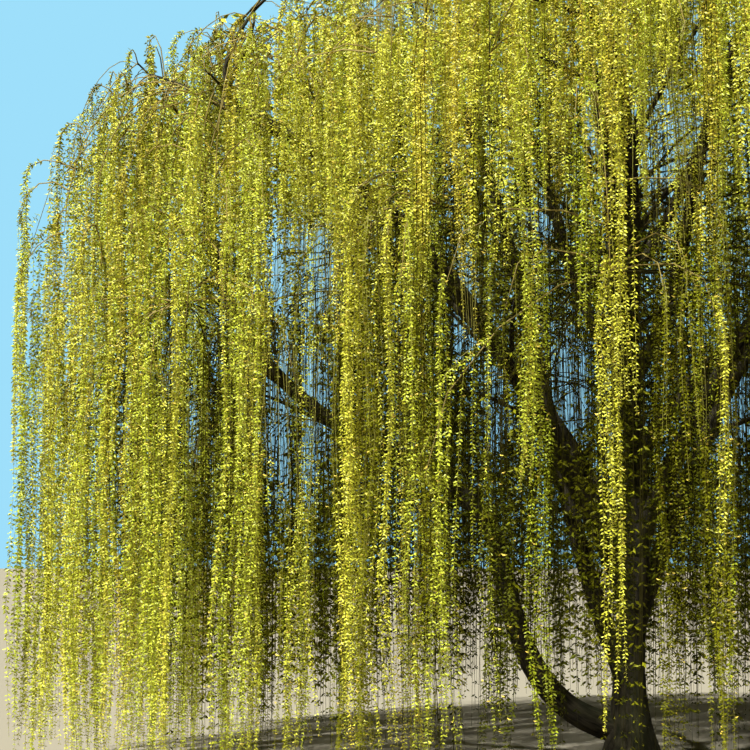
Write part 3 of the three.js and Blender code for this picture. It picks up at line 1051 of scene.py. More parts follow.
@dataclass(frozen=True)
class Branching:
    """Side branches of the boughs and the leader, and the twigs that fork off them.

    A branch leaves its limb between the limb's way and its own heading, and comes in nearly level.
    A weeping one first goes on by shares of the limb's way, its heading and the upright.
    """

    crown: Outline = Outline()
    seed: int = 17
    roof_room: float = 0.35
    outer: BranchHabit = BranchHabit(
        0.34, 0.97, 8, (28, 62), (1.2, 2.3), (0.25, 0.85), 0.42, 9 * MM)
    upper: BranchHabit = BranchHabit(0.3, 0.97, 6, (28, 66), (0.8, 1.5), (0.3, 0.8), 0.45, 8 * MM)
    leader: BranchHabit = BranchHabit(0.62, 0.98, 12, (0, 0), (0.9, 1.7), (0.4, 0.9), 0.4, 8 * MM)
    fork: BranchHabit = BranchHabit(0.3, 0.92, 3, (25, 58), (0.45, 0.95), (0.1, 0.6), 0.5, 4 * MM)
    weeping: BranchHabit = BranchHabit(
        0.15, 0.98, 6, (10, 75), (0.7, 1.7), (-2.6, -0.5), 0.5, 4 * MM)
    farthest: float = 6.45
    uneven: float = 0.02
    turned: float = 0.6
    near: float = 0.25
    far: float = 0.35
    far_rise: tuple[float, float] = (-0.1, 0.5)
    stoutest: float = 1.6
    weeping_way: tuple[float, float, float] = (0.5, 0.4, 0.25)
    weeping_near: float = 0.6
    weeping_far: float = 0.3

    def off(
        self, limb: Limb, habit: BranchHabit, share: float, heading: Array, rng: Random,
    ) -> Bough:
        """Grows one branch off a limb.

        Args:
            limb: the limb that carries it.
            habit: the sizes of such branches.
            share: where on the limb it starts.
            heading: the way it goes, in plan.
            rng: the source of random numbers.

        Returns:
            The branch, which stays under the crown's outline.
        """
        start = limb.point(share)
        reach = rng.uniform(*habit.reach)
        end = start + heading * reach + UP * reach * rng.uniform(*habit.rise)
        roof = self.crown.height_over(end) - self.roof_room
        end = at_height(end, min(end[2], roof))
        near = start + (unit(limb.tangent(share)) + heading * self.turned) * reach * self.near
        far = end - (heading + UP * rng.uniform(*self.far_rise)) * reach * self.far
        foot = max(limb.radius(share) * habit.thickness, habit.tip * self.stoutest)
        return Bough("branch", Bezier((start, near, far, end)), foot, habit.tip)

    def over(
        self, limb: Limb, habit: BranchHabit, share: float, heading: Array, rng: Random,
    ) -> Bough:
        """Grows one branch that arches over and weeps.

        Args:
            limb: the limb that carries it.
            habit: the sizes of such branches.
            share: where on the limb it starts.
            heading: the way it goes, in plan.
            rng: the source of random numbers.

        Returns:
            The branch, which stays within the crown's rim.
        """
        start = limb.point(share)
        reach, fall = rng.uniform(*habit.reach), rng.uniform(*habit.rise)
        end = start + heading * reach
        end = end * min(1.0, self.farthest / plan_radius(end))
        ahead, aside, up = self.weeping_way
        way = unit(limb.tangent(share)) * ahead + heading * aside + UP * up
        near = start + way * reach * self.weeping_near
        far = at_height(end, start[2] + fall * self.weeping_far)
        curve = Bezier((start, near, far, at_height(end, start[2] + fall)))
        return Bough("branch", curve, limb.radius(share) * habit.thickness, habit.tip)

    def along(self, limb: Limb, habit: BranchHabit, rng: Random) -> list[Bough]:
        """Grows the branches of one limb, to its left and right by turns.

        Args:
            limb: the limb that carries them.
            habit: the sizes of such branches. Those that fall as they go are weeping ones.
            rng: the source of random numbers.

        Returns:
            The branches.
        """
        branches: list[Bough] = []
        side = 1 if rng.random() < 0.5 else -1
        for share in np.linspace(habit.first, habit.last, habit.count):
            share = float(share + rng.uniform(-self.uneven, self.uneven))
            ahead = limb.tangent(share)
            azimuth = math.degrees(math.atan2(ahead[1], ahead[0]))
            if habit.turn[1] > 0:
                azimuth += side * rng.uniform(*habit.turn)
            else:
                azimuth = 360 * rng.random()
            grow = self.over if habit.rise[1] < 0 else self.off
            branches.append(grow(limb, habit, share, polar(azimuth, 1.0), rng))
            side = -side
        return branches

    def grow(self, skeleton: Skeleton, stems: Sequence[Bough]) -> tuple[list[Bough], list[Bough]]:
        """Grows all the side branches and their forks.

        Args:
            skeleton: the trunk and the boughs.
            stems: the stems of the masses, which fork too.

        Returns:
            The side branches, and the forks and weeping branches off them and off the stems.
        """
        rng = np.random.default_rng(self.seed)
        sides: list[Bough] = []
        for bough in skeleton.boughs().values():
            if bough.name != "left_bough":
                habit = self.upper if bough.name.startswith("upper") else self.outer
                sides.extend(self.along(bough, habit, rng))
        sides.extend(self.along(skeleton.trunk, self.leader, rng))
        forks = [fork for limb in (*sides, *stems) for fork in self.along(limb, self.fork, rng)]
        outer = [stem for stem in stems if "curtain" in stem.name or "shoulder" in stem.name]
        forks += [fork for limb in outer for fork in self.along(limb, self.weeping, rng)]
        return sides, forks


def carriers_of(limbs: Iterable[Limb], first: float = 0.3, count: int = 11) -> Array:
    """Gives the points along limbs that tresses can leave."""
    shares = np.linspace(first, 1, count)
    return np.array([limb.point(float(s)) for limb in limbs for s in shares])


@dataclass(frozen=True)
class Strand:
    """A twig or shoot: its points from foot to tip, and a radius at each."""

    points: Array
    radii: Array

    @property
    def length(self) -> float:
        """The length along the strand."""
        return float(np.linalg.norm(np.diff(self.points, axis=0), axis=1).sum())

    def divided(self, parts: int) -> "Strand":
        """Gives the same strand with each of its steps divided in parts."""
        steps = np.arange(len(self.points))
        places = np.linspace(0, steps[-1], parts * int(steps[-1]) + 1)
        points = np.column_stack([np.interp(places, steps, axis) for axis in self.points.T])
        return Strand(points, np.interp(places, steps, self.radii))

    def stretches(self, kept: Array) -> list["Strand"]:
        """Gives the stretches of the strand whose points are all kept."""
        edges = np.flatnonzero(np.diff(np.concatenate(([False], kept, [False])).astype(int)))
        return [
            Strand(self.points[first:last], self.radii[first:last])
            for first, last in zip(edges[::2], edges[1::2]) if last - first > 1]


def strand_of(limb: Limb, steps: int) -> Strand:
    """Gives a limb as a strand with a number of even steps."""
    shares = [i / steps for i in range(steps + 1)]
    return Strand(
        np.array([limb.point(s) for s in shares]), np.array([limb.radius(s) for s in shares]))


@dataclass(frozen=True)
class ShootHabit:
    """How the shoots of a plain tress hang, and the sizes of the leaves that they bear.

    The spacing is that of the pairs of leaves along a shoot, the step that of its bends.
    """

    fewest: int
    most: int
    spread: float
    ragged: float
    length: float
    width: float
    spacing: float
    step: float


class Grade(Enum):
    """Grades of foliage, with smaller leaves where the photo looks closely."""

    FINE = ShootHabit(5, 7, 0.12, 0.4, 36 * MM, 16.5 * MM, 26.5 * MM, 1.2)
    MIDDLE = ShootHabit(4, 7, 0.12, 0.4, 55 * MM, 24.5 * MM, 49 * MM, 1.4)
    BROAD = ShootHabit(3, 5, 0.13, 0.7, 125 * MM, 52 * MM, 180 * MM, 2.0)
    COARSE = ShootHabit(4, 6, 0.14, 1.2, 68 * MM, 26 * MM, 140 * MM, 2.4)
    HIDDEN = ShootHabit(3, 5, 0.16, 1.2, 98 * MM, 40 * MM, 240 * MM, 2.4)


@dataclass(frozen=True)
class View:
    """The photo's view: the eye, how far it looks up, and the lens on its square film."""

    eye: tuple[float, float, float] = (-2.82, -17.0, 2.3)
    pitch: float = 7.0
    lens: float = 72.19
    film: float = 36.0
    side: int = 750

    @property
    def focal(self) -> float:
        """The lens's focal length in pixels."""
        return self.lens / self.film * self.side

    def project(self, points: Array) -> Array:
        """Gives the places of points in the photo, in pixels to the right and down."""
        pitch = math.radians(self.pitch)
        away = points - np.array(self.eye)
        depth = away[:, 1] * math.cos(pitch) + away[:, 2] * math.sin(pitch)
        rise = away[:, 2] * math.cos(pitch) - away[:, 1] * math.sin(pitch)
        return self.side / 2 + self.focal * np.column_stack((away[:, 0], -rise)) / depth[:, None]

    def on_cylinder(self, across: float, down: float, radius: float) -> Array:
        """Gives the near point of an upright cylinder round the tree at a place in the photo.

        Args:
            across: the place in pixels from the photo's left.
            down: the place in pixels from its top.
            radius: the radius of the cylinder.

        Returns:
            The point.
        """
        pitch, eye = math.radians(self.pitch), np.array(self.eye)
        right = (across - self.side / 2) / self.focal
        up = (self.side / 2 - down) / self.focal
        ahead = np.array((
            right,
            math.cos(pitch) - up * math.sin(pitch),
            math.sin(pitch) + up * math.cos(pitch)))
        square = ahead[0] ** 2 + ahead[1] ** 2
        towards = eye[0] * ahead[0] + eye[1] * ahead[1]
        beyond = eye[0] ** 2 + eye[1] ** 2 - radius**2
        return eye - ahead * (towards + math.sqrt(towards**2 - square * beyond)) / square


@dataclass(frozen=True)
class Lead:
    """Where a tress stands out in the photo: its middle, its top and its end there in pixels."""

    across: float
    top: float
    end: float


@dataclass(frozen=True)
class Leads:
    """The leading tresses, which hang on the near rim where the photo shows them."""

    view: View = View()
    radius: float = 6.55
    places: tuple[Lead, ...] = (
        Lead(443, 195, 735),
        Lead(606, 245, 730),
        Lead(686, 215, 480),
        Lead(345, 165, 742),
        Lead(505, 235, 440),
        Lead(262, 250, 500),
        Lead(401, 190, 640),
        Lead(742, 225, 380),
        Lead(664, 240, 440),
        Lead(716, 250, 570),
    )

    def tresses(self, canopy: Canopy, carriers: Array) -> list[Tress]:
        """Gives the leading tresses.

        Args:
            canopy: the canopy that they hang from.
            carriers: the points that they can leave.

        Returns:
            Those of them that find a carrier.
        """
        found: list[Tress | None] = []
        for lead in self.places:
            spot = self.view.on_cylinder(lead.across, lead.top, self.radius)
            low = float(self.view.on_cylinder(lead.across, lead.end, self.radius)[2])
            found.append(canopy.fine_tress(spot, low, carriers, Rank.LEADING))
        return [tress for tress in found if tress is not None]


@dataclass(frozen=True)
class Grading:
    """Where the grades are, by how far a tress is from the photo's eye and whether it shows."""

    view: View = View()
    near: float = 15.0
    near_radius: float = 4.7
    middle: float = 16.4
    outer_middle: float = 18.0
    inner: float = 17.6
    margin: float = 25.0

    def of(self, tress: Tress) -> Grade:
        """Gives the grade of a tress's foliage.

        Args:
            tress: the tress.

        Returns:
            A fine grade near the photo's eye, and a plain one where little or nothing shows.
        """
        away = tress.spot[1] - self.view.eye[1]
        if tress.rank is Rank.INNER:
            return Grade.COARSE if away < self.inner else Grade.HIDDEN
        place = self.view.project(tress.spot[None, :])[0, 0]
        is_outer = plan_radius(tress.spot) > self.near_radius
        farthest = self.outer_middle if is_outer else self.middle
        if not -self.margin < place < self.view.side + self.margin or away > farthest:
            return Grade.BROAD
        return Grade.FINE if is_outer and away < self.near else Grade.MIDDLE


@dataclass(frozen=True)
class SkyGap:
    """An oval gap through which the photo shows the sky, by its edges there in pixels."""

    left: float
    top: float
    right: float
    bottom: float

    def holds(self, places: Array, swell: float) -> Array:
        """Tells which places are in the gap, when it is swollen by a factor."""
        middle = np.array((self.left + self.right, self.top + self.bottom)) / 2
        half = np.array((self.right - self.left, self.bottom - self.top)) / 2
        return (((places - middle) / (half * swell)) ** 2).sum(axis=1) < 1


@dataclass(frozen=True)
class SkyGaps:
    """The gaps of the photo, in which most shoots are bare and fewer tresses hang inside."""

    view: View = View()
    division: int = 8
    soft: float = 0.3
    left_out: float = 0.3
    fall_places: int = 12
    leafy_share: Mapping[Grade, float] = field(default_factory=lambda: {
        Grade.FINE: 0.25, Grade.MIDDLE: 0.2, Grade.BROAD: 0.12, Grade.COARSE: 0.15,
        Grade.HIDDEN: 0.12})
    gaps: tuple[SkyGap, ...] = (
        SkyGap(262, 225, 345, 330),
        SkyGap(255, 330, 335, 500),
        SkyGap(520, 200, 565, 240),
        SkyGap(450, 265, 480, 355),
        SkyGap(482, 375, 512, 460),
        SkyGap(545, 345, 595, 440),
        SkyGap(582, 85, 604, 160),
        SkyGap(632, 85, 705, 225),
        SkyGap(680, 15, 702, 65),
        SkyGap(700, 365, 760, 440),
        SkyGap(160, 320, 176, 400),
        SkyGap(186, 400, 200, 470),
        SkyGap(345, 0, 450, 28),
    )

    def opens(self, tress: Tress, rng: Random) -> bool:
        """Tells whether a tress would hang in a gap and is left out for it."""
        heights = np.linspace(tress.low, tress.spot[2], self.fall_places)
        places = self.view.project(np.array([at_height(tress.spot, h) for h in heights]))
        is_in = any(gap.holds(places, 1.0).any() for gap in self.gaps)
        return is_in and rng.random() < self.left_out

    def leafy(self, strand: Strand, grade: Grade, rng: Random) -> list[Strand]:
        """Gives the stretches of a shoot that bear leaves.

        Args:
            strand: the shoot.
            grade: the grade of its leaves, which sets how often gaps leave it leafy.
            rng: the source of random numbers.

        Returns:
            The whole shoot, or its stretches outside the gaps.
        """
        swell = 1 + self.soft * (2 * rng.random() - 1)
        if rng.random() < self.leafy_share[grade]:
            return [strand]
        divided = strand.divided(self.division)
        places = self.view.project(divided.points)
        bare = np.any([gap.holds(places, swell) for gap in self.gaps], axis=0)
        return divided.stretches(~bare)


@dataclass(frozen=True)
class PaintedSunAndShade:
    """Where the leaves of shady tresses turn from sunny to dim, by the height in the photo.

    The sunny leaves take a tint of the rank, as painted light, and the dim ones keep the tints of
    their tress, as painted shade.
    """

    view: View = View()
    down: float = 235.0
    ragged: float = 45.0
    division: int = 8
    rank: Rank = Rank.MAIN

    def parts(self, strand: Strand, rng: Random) -> tuple[list[Strand], list[Strand]]:
        """Gives the sunny stretches of a shoot and its dim ones."""
        divided = strand.divided(self.division)
        down = self.view.project(divided.points)[:, 1]
        is_sunny = down < self.down + self.ragged * (2 * rng.random() - 1)
        return divided.stretches(is_sunny), divided.stretches(~is_sunny)


@dataclass(frozen=True)
class ShootRule:
    """How shoots leave the arch of their tress and hang."""

    seed: int = 23
    to_spot: float = 0.6
    drop: tuple[float, float] = (0.25, 0.5)
    leave_reach: float = 0.4
    leave_drop: float = 0.25
    shortest: float = 0.6
    raggedness: float = 1.5
    narrowing: float = 0.35
    settling: float = 1.2
    tress_sway: float = 0.05
    tress_wave: tuple[float, float] = (2.6, 4.4)
    own_sway: float = 0.028
    own_wave: tuple[float, float] = (1.3, 2.6)
    plain_step: float = 1.8
    bends: tuple[float, ...] = (0.0, 0.33, 0.66, 1.0)
    plain_bends: tuple[float, ...] = (0.0, 0.55, 1.0)
    foot_radius: float = 3.0 * MM
    tip_radius: float = 1.4 * MM
    arch_radii: tuple[float, float] = (9 * MM, 3.6 * MM)
    arch_steps: int = 4
    same_tint: float = 0.84
    outermost: float = 6.88

    def arch(self, tress: Tress) -> Strand:
        """Gives the arch that carries a tress's shoots."""
        return strand_of(Bough("arch", tress.arch, *self.arch_radii), self.arch_steps)

    def shoots(
        self, tress: Tress, habit: ShootHabit, rng: Random,
    ) -> list[tuple[Tint, Strand]]:
        """Gives the shoots of a tress, most of them with leaves of the same tint.

        Args:
            tress: the tress that they belong to.
            habit: the number and the sizes of such shoots.
            rng: the source of random numbers.

        Returns:
            The shoots, each with the tint of its leaves.
        """
        rank = tress.rank.value
        main = self.tint(tress.rank, rng)
        phase, wave = rng.uniform(0, 2 * math.pi, 2), rng.uniform(*self.tress_wave)
        hung: list[tuple[Tint, Strand]] = []
        for order in range(round(rank.more * rng.integers(habit.fewest, habit.most + 1))):
            leave = rank.leave[1] if order == 0 else rng.uniform(*rank.leave)
            uneven = 0.0 if order == 0 else rng.random() ** self.raggedness
            ragged = habit.ragged * rank.ragged * uneven
            strand = self.hang(tress, leave, ragged, habit, (phase, wave), rng)
            same = rng.random() < self.same_tint
            other = self.tint(tress.rank, rng)
            if strand is not None:
                hung.append((main if same else other, strand))
        return hung

    def tint(self, rank: Rank, rng: Random) -> Tint:
        """Draws one of a rank's tints by its shares."""
        tints, shares = list(rank.value.tints), np.array(list(rank.value.tints.values()))
        return tints[rng.choice(len(tints), p=shares / shares.sum())]

    def hang(
        self, tress: Tress, leave: float, ragged: float, habit: ShootHabit,
        swing: tuple[Array, float], rng: Random,
    ) -> Strand | None:
        """Hangs one shoot from its tress's arch.

        Args:
            tress: the tress that it belongs to.
            leave: the share of the arch at which it leaves.
            ragged: how far above the tress's end it stops.
            habit: the sizes of such shoots.
            swing: the phases and the wave length of the sway that the tress's shoots share.
            rng: the source of random numbers.

        Returns:
            The shoot, or None where it would be too short.
        """
        start, rank = tress.arch.point(leave), tress.rank.value
        offset = polar(360 * rng.random(), habit.spread * rank.spread * math.sqrt(rng.random()))
        middle = start + (tress.spot - start) * self.to_spot
        hang = middle + offset
        reach = self.outermost - LARGEST_SPRAY * habit.length
        hang *= min(1.0, reach / plan_radius(hang))
        drop = rng.uniform(*self.drop)
        low = tress.low + ragged
        fall = start[2] - drop - low
        phase, wave = rng.uniform(0, 2 * math.pi, 2), rng.uniform(*self.own_wave)
        if fall < self.shortest:
            return None
        first = Bezier((
            start,
            start + tress.arch.tangent(leave) * drop * self.leave_reach,
            at_height(hang, start[2] - drop * self.leave_drop),
            at_height(hang, start[2] - drop)))
        steps = max(1, round(fall / habit.step))
        depths = np.linspace(0, fall, steps + 1)[1:]
        narrowed = 1 - self.narrowing * depths / fall
        settled = np.minimum(depths / self.settling, 1.0)
        x, y = (middle[axis] + offset[axis] * narrowed for axis in (0, 1))
        for sway, turns, length in ((self.tress_sway, *swing), (self.own_sway, phase, wave)):
            x += settled * sway * np.sin(2 * math.pi * depths / length + turns[0])
            y += settled * sway * np.sin(2 * math.pi * depths / length + turns[1])
        pulled = np.minimum(1.0, reach / np.hypot(x, y))
        falling = np.column_stack((x * pulled, y * pulled, start[2] - drop - depths))
        bends = self.bends if habit.step < self.plain_step else self.plain_bends
        points = np.vstack(([first.point(s) for s in bends], falling))
        radii = rank.thickness * np.linspace(self.foot_radius, self.tip_radius, len(points))
        return Strand(points, radii)


def strand_mesh(name: str, strands: Sequence[Strand]) -> bpy.types.Mesh:
    """Joins strands in one mesh of loose edges.

    Args:
        name: the mesh's name.
        strands: the strands to join.

    Returns:
        The mesh, with each point's radius in its attribute "thickness".
    """
    points = np.concatenate([strand.points for strand in strands])
    radii = np.concatenate([strand.radii for strand in strands])
    counts = np.array([len(strand.points) for strand in strands])
    ends = np.cumsum(counts) - 1
    first = np.delete(np.arange(len(points)), ends)
    mesh = bpy.data.meshes.new(name)
    mesh.vertices.add(len(points))
    mesh.vertices.foreach_set("co", points.astype(np.float32).ravel())
    mesh.edges.add(len(first))
    pairs = np.column_stack((first, first + 1)).astype(np.int32)
    mesh.edges.foreach_set("vertices", pairs.ravel())
    thickness = mesh.attributes.new("thickness", "FLOAT", "POINT")
    thickness.data.foreach_set("value", radii.astype(np.float32))
    return mesh


def new_tree(name: str, inputs: Mapping[str, str]) -> tuple[NodeTree, bpy.types.Node]:
    """Starts a Geometry Nodes tree.

    Args:
        name: the tree's name.
        inputs: the socket type of each named input after the geometry.

    Returns:
        The tree and its group input node.
    """
    tree = bpy.data.node_groups.new(name, "GeometryNodeTree")
    tree.interface.new_socket("Geometry", in_out="INPUT", socket_type="NodeSocketGeometry")
    for label, kind in inputs.items():
        tree.interface.new_socket(label, in_out="INPUT", socket_type=kind)
    tree.interface.new_socket("Geometry", in_out="OUTPUT", socket_type="NodeSocketGeometry")
    return tree, add_node(tree, "NodeGroupInput")


def end_tree(tree: NodeTree, geometry: Any, material: Any) -> None:
    """Ends a tree in Realize Instances and Set Material."""
    real = add_node(tree, "GeometryNodeRealizeInstances", inputs={"Geometry": geometry})
    finished = add_node(tree, "GeometryNodeSetMaterial", inputs={
        "Geometry": real.outputs["Geometry"], "Material": material})
    add_node(tree, "NodeGroupOutput", inputs={0: finished.outputs["Geometry"]})


def twig_tree() -> NodeTree:
    """Builds the tree that gives strands their round skin, with named sides."""
    tree, given = new_tree("twig_skin", {
        "Sides": "NodeSocketInt", "Material": "NodeSocketMaterial"})
    curve = add_node(tree, "GeometryNodeMeshToCurve", inputs={"Mesh": given.outputs["Geometry"]})
    thickness = add_node(tree, "GeometryNodeInputNamedAttribute", {"data_type": "FLOAT"}, {
        "Name": "thickness"})
    ring = add_node(tree, "GeometryNodeCurvePrimitiveCircle", inputs={
        "Resolution": given.outputs["Sides"], "Radius": 1.0})
    skin = add_node(tree, "GeometryNodeCurveToMesh", inputs={
        "Curve": curve.outputs["Curve"], "Profile Curve": ring.outputs["Curve"],
        "Scale": thickness.outputs["Attribute"], "Fill Caps": True})
    end_tree(tree, skin.outputs["Mesh"], given.outputs["Material"])
    return tree


def spray_tree() -> NodeTree:
    """Builds the tree that sets sprays along strands, each turned and tilted at random."""
    sizes = ("Spacing", "Smallest", "Largest", "Tilt", "Tip From", "Tip Size")
    tree, given = new_tree("sprays", {
        "Spray": "NodeSocketObject", **dict.fromkeys(sizes, "NodeSocketFloat"),
        "Seed": "NodeSocketInt", "Material": "NodeSocketMaterial"})
    curve = add_node(tree, "GeometryNodeMeshToCurve", inputs={"Mesh": given.outputs["Geometry"]})
    places = add_node(tree, "GeometryNodeResampleCurve", {"mode": "LENGTH"}, {
        "Curve": curve.outputs["Curve"], "Length": given.outputs["Spacing"]})
    spray = add_node(tree, "GeometryNodeObjectInfo", {"transform_space": "ORIGINAL"}, {
        "Object": given.outputs["Spray"], "As Instance": True})
    tangent = add_node(tree, "GeometryNodeInputTangent")
    aligned = add_node(tree, "FunctionNodeAlignRotationToVector", {"axis": "Z"}, {
        "Vector": tangent.outputs["Tangent"]})
    least = add_node(tree, "ShaderNodeMath", {"operation": "MULTIPLY"}, {
        0: given.outputs["Tilt"], 1: -1.0})
    ranges = (
        (0.0, 2 * math.pi), (least.outputs["Value"], given.outputs["Tilt"]),
        (given.outputs["Smallest"], given.outputs["Largest"]))
    drawn = []
    for order, (low, high) in enumerate(ranges):
        seed = add_node(tree, "ShaderNodeMath", {"operation": "ADD"}, {
            0: given.outputs["Seed"], 1: float(order)})
        value = add_node(tree, "FunctionNodeRandomValue", {"data_type": "FLOAT"}, {
            RANDOM_LEAST: low, RANDOM_MOST: high, "Seed": seed.outputs["Value"]})
        drawn.append(value.outputs[RANDOM_VALUE])
    turn, tilt, size = drawn
    turned = aligned
    for axis, angle in (((0.0, 0.0, 1.0), turn), ((1.0, 0.0, 0.0), tilt)):
        turning = add_node(tree, "FunctionNodeAxisAngleToRotation", inputs={
            "Axis": axis, "Angle": angle})
        turned = add_node(tree, "FunctionNodeRotateRotation", {"rotation_space": "LOCAL"}, {
            "Rotation": turned.outputs["Rotation"], "Rotate By": turning.outputs["Rotation"]})
    share = add_node(tree, "GeometryNodeSplineParameter")
    tip = add_node(tree, "ShaderNodeMapRange", inputs={
        "Value": share.outputs["Factor"], "From Min": given.outputs["Tip From"], "From Max": 1.0,
        "To Min": 1.0, "To Max": given.outputs["Tip Size"]})
    scale = add_node(tree, "ShaderNodeMath", {"operation": "MULTIPLY"}, {
        0: size, 1: tip.outputs["Result"]})
    sprays = add_node(tree, "GeometryNodeInstanceOnPoints", inputs={
        "Points": places.outputs["Curve"], "Instance": spray.outputs["Geometry"],
        "Rotation": turned.outputs["Rotation"], "Scale": scale.outputs["Value"]})
    end_tree(tree, sprays.outputs["Instances"], given.outputs["Material"])
    return tree


def grown(
    name: str, strands: Sequence[Strand], tree: NodeTree, values: Mapping[str, Any],
) -> bpy.types.Object:
    """Grows a piece on strands with a Geometry Nodes tree.

    Args:
        name: the piece's name.
        strands: the strands that the tree works on.
        tree: the tree.
        values: the tree's inputs by name.

    Returns:
        The piece as a plain mesh.
    """
    holder = placed(f"{name}_strands", strand_mesh(f"{name}_strands", strands))
    modifier = holder.modifiers.new("grow", "NODES")
    modifier.node_group = tree
    inputs = {
        item.name: item.identifier for item in tree.interface.items_tree
        if item.in_out == "INPUT"}
    for label, value in values.items():
        modifier[inputs[label]] = value
    depsgraph = bpy.context.evaluated_depsgraph_get()
    mesh = bpy.data.meshes.new_from_object(holder.evaluated_get(depsgraph))
    mesh.name = name
    base = holder.data
    bpy.data.objects.remove(holder)
    bpy.data.meshes.remove(base)
    if "thickness" in mesh.attributes:
        mesh.attributes.remove(mesh.attributes["thickness"])
    return placed(name, mesh)


def template(
    name: str, corners: Sequence[Sequence[float]], faces: Sequence[Sequence[int]],
) -> bpy.types.Object:
    """Makes a small shape that sprays are instances of."""
    mesh = bpy.data.meshes.new(name)
    mesh.from_pydata(corners, [], faces)
    return placed(name, mesh)


@dataclass(frozen=True)
class Spraying:
    """How sprays sit on strands: their sizes, their tilt in degrees and how they end.

    Past a share of the strand they shrink evenly to a smaller size at its tip.
    """

    smallest: float
    largest: float
    tilt: float
    tip_from: float = 0.8
    tip_size: float = 0.6

    def inputs(
        self, spray: bpy.types.Object, spacing: float, seed: int, material: bpy.types.Material,
    ) -> dict[str, Any]:
        """Gives the tree's inputs for a spray, a spacing, a seed and a material."""
        return {
            "Spray": spray, "Spacing": spacing, "Smallest": self.smallest,
            "Largest": self.largest, "Tilt": math.radians(self.tilt), "Tip From": self.tip_from,
            "Tip Size": self.tip_size, "Seed": seed, "Material": material}


@dataclass(frozen=True)
class LeafShape:
    """A young leaf folded along its midrib, as two triangles, on a shoot that grows along +Z.

    Its lift is the angle between its midrib and the shoot. Its twist turns its blade out of the
    plane through the shoot and the midrib.
    """

    length: float
    width: float
    lift: float
    twist: float
    fold: float = 0.22
    widest: float = 0.45

    def corners(self, turn: float, root: float = 0.0) -> list[tuple[float, float, float]]:
        """Gives the leaf's four corners.

        Args:
            turn: the side of the shoot that it stands on, in degrees.
            root: how far along the shoot it is set.

        Returns:
            Root, one edge, tip and the other edge.
        """
        around, lift, twist = (math.radians(angle) for angle in (turn, self.lift, self.twist))
        out = Vector((math.cos(around), math.sin(around), 0.0))
        aside = Vector((-math.sin(around), math.cos(around), 0.0))
        ahead = out * math.sin(lift) + Vector((0.0, 0.0, 1.0)) * math.cos(lift)
        upright = ahead.cross(aside)
        across = upright * math.cos(twist) + aside * math.sin(twist)
        face = aside * math.cos(twist) - upright * math.sin(twist)
        foot = Vector((0.0, 0.0, root))
        middle = foot + ahead * self.length * self.widest + face * self.width * self.fold
        half = across * self.width / 2
        return [tuple(p) for p in (foot, middle + half, foot + ahead * self.length, middle - half)]


@dataclass(frozen=True)
class LeafPair:
    """A pair of young leaves on opposite sides of a shoot, the second one smaller and higher up."""

    length: float
    width: float
    lifts: tuple[float, float] = (52.0, 70.0)
    twists: tuple[float, float] = (24.0, -34.0)
    opposite: float = 160.0
    shorter: float = 0.88
    narrower: float = 0.92
    higher: float = 0.3

    def build(self, name: str) -> bpy.types.Object:
        """Makes the pair."""
        first = LeafShape(self.length, self.width, self.lifts[0], self.twists[0])
        second = LeafShape(
            self.length * self.shorter, self.width * self.narrower, self.lifts[1], self.twists[1])
        corners = [
            *first.corners(0.0), *second.corners(self.opposite, self.length * self.higher)]
        return template(name, corners, [(0, 1, 2), (0, 2, 3), (4, 5, 6), (4, 6, 7)])


@dataclass(frozen=True)
class Catkin:
    """A catkin that stands out from its shoot and nods, as a closed spindle of four faces.

    Its places are shares of its length, out from the shoot and along it.
    """

    length: float
    width: float
    left: tuple[float, float] = (0.5, 0.1)
    right: tuple[float, float] = (0.55, 0.15)
    tip: tuple[float, float] = (0.95, -0.25)

    def build(self, name: str) -> bpy.types.Object:
        """Makes the catkin."""
        half = self.width / 2
        edges = ((self.left, half), (self.right, -half), (self.tip, 0.0))
        corners = [(0.0, 0.0, 0.0)]
        corners += [(self.length * out, y, self.length * along) for (out, along), y in edges]
        return template(name, corners, [(0, 2, 1), (0, 1, 3), (0, 3, 2), (1, 2, 3)])


@dataclass(frozen=True)
class PlainFinish:
    """A matt finish of one plain base colour, for leaves, catkins and young twigs."""

    name: str
    colour: str
    roughness: float = 0.5
    shine: float = 0.5

    def material(self) -> bpy.types.Material:
        """Makes the material."""
        material = new_material(self.name)
        tree = material.node_tree
        shader = add_node(tree, "ShaderNodeBsdfPrincipled", inputs={
            "Base Color": linear(self.colour), "Roughness": self.roughness,
            "Specular IOR Level": self.shine})
        add_node(tree, "ShaderNodeOutputMaterial", inputs={"Surface": shader.outputs["BSDF"]})
        return material


# Young leaves are soft and matt, and sunlight makes them glow yellow-green. The tints run from a
# sunny yellow-green through gold, lime and fresh green to olive and deep greens. The deep and
# shaded tints, and the olive and fresh ones where shady and inner tresses get them, are painted
# shade. The sunny tint is also painted light on the tops of shady tresses. The dark tints have
# hardly any shine, so that the crown's hollows stay dark.
LEAF_FINISHES = {
    Tint.SUNNY: PlainFinish("young_leaf_sunny", "cfce3c"),
    Tint.GOLDEN: PlainFinish("young_leaf_golden", "cdc138"),
    Tint.LIME: PlainFinish("young_leaf_lime", "bcc430"),
    Tint.FRESH: PlainFinish("young_leaf_fresh", "9ca61c", shine=0.3),
    Tint.OLIVE: PlainFinish("young_leaf_olive", "77780c", shine=0.15),
    Tint.DEEP: PlainFinish("young_leaf_deep", "4a4e08", shine=0.05),
    Tint.SHADED: PlainFinish("young_leaf_shaded", "2b2f06", shine=0.05),
}

# Catkins are downy, denser than the leaves and more golden
CATKIN_FINISH = PlainFinish("catkin_golden", "d3bb4c", 0.8)

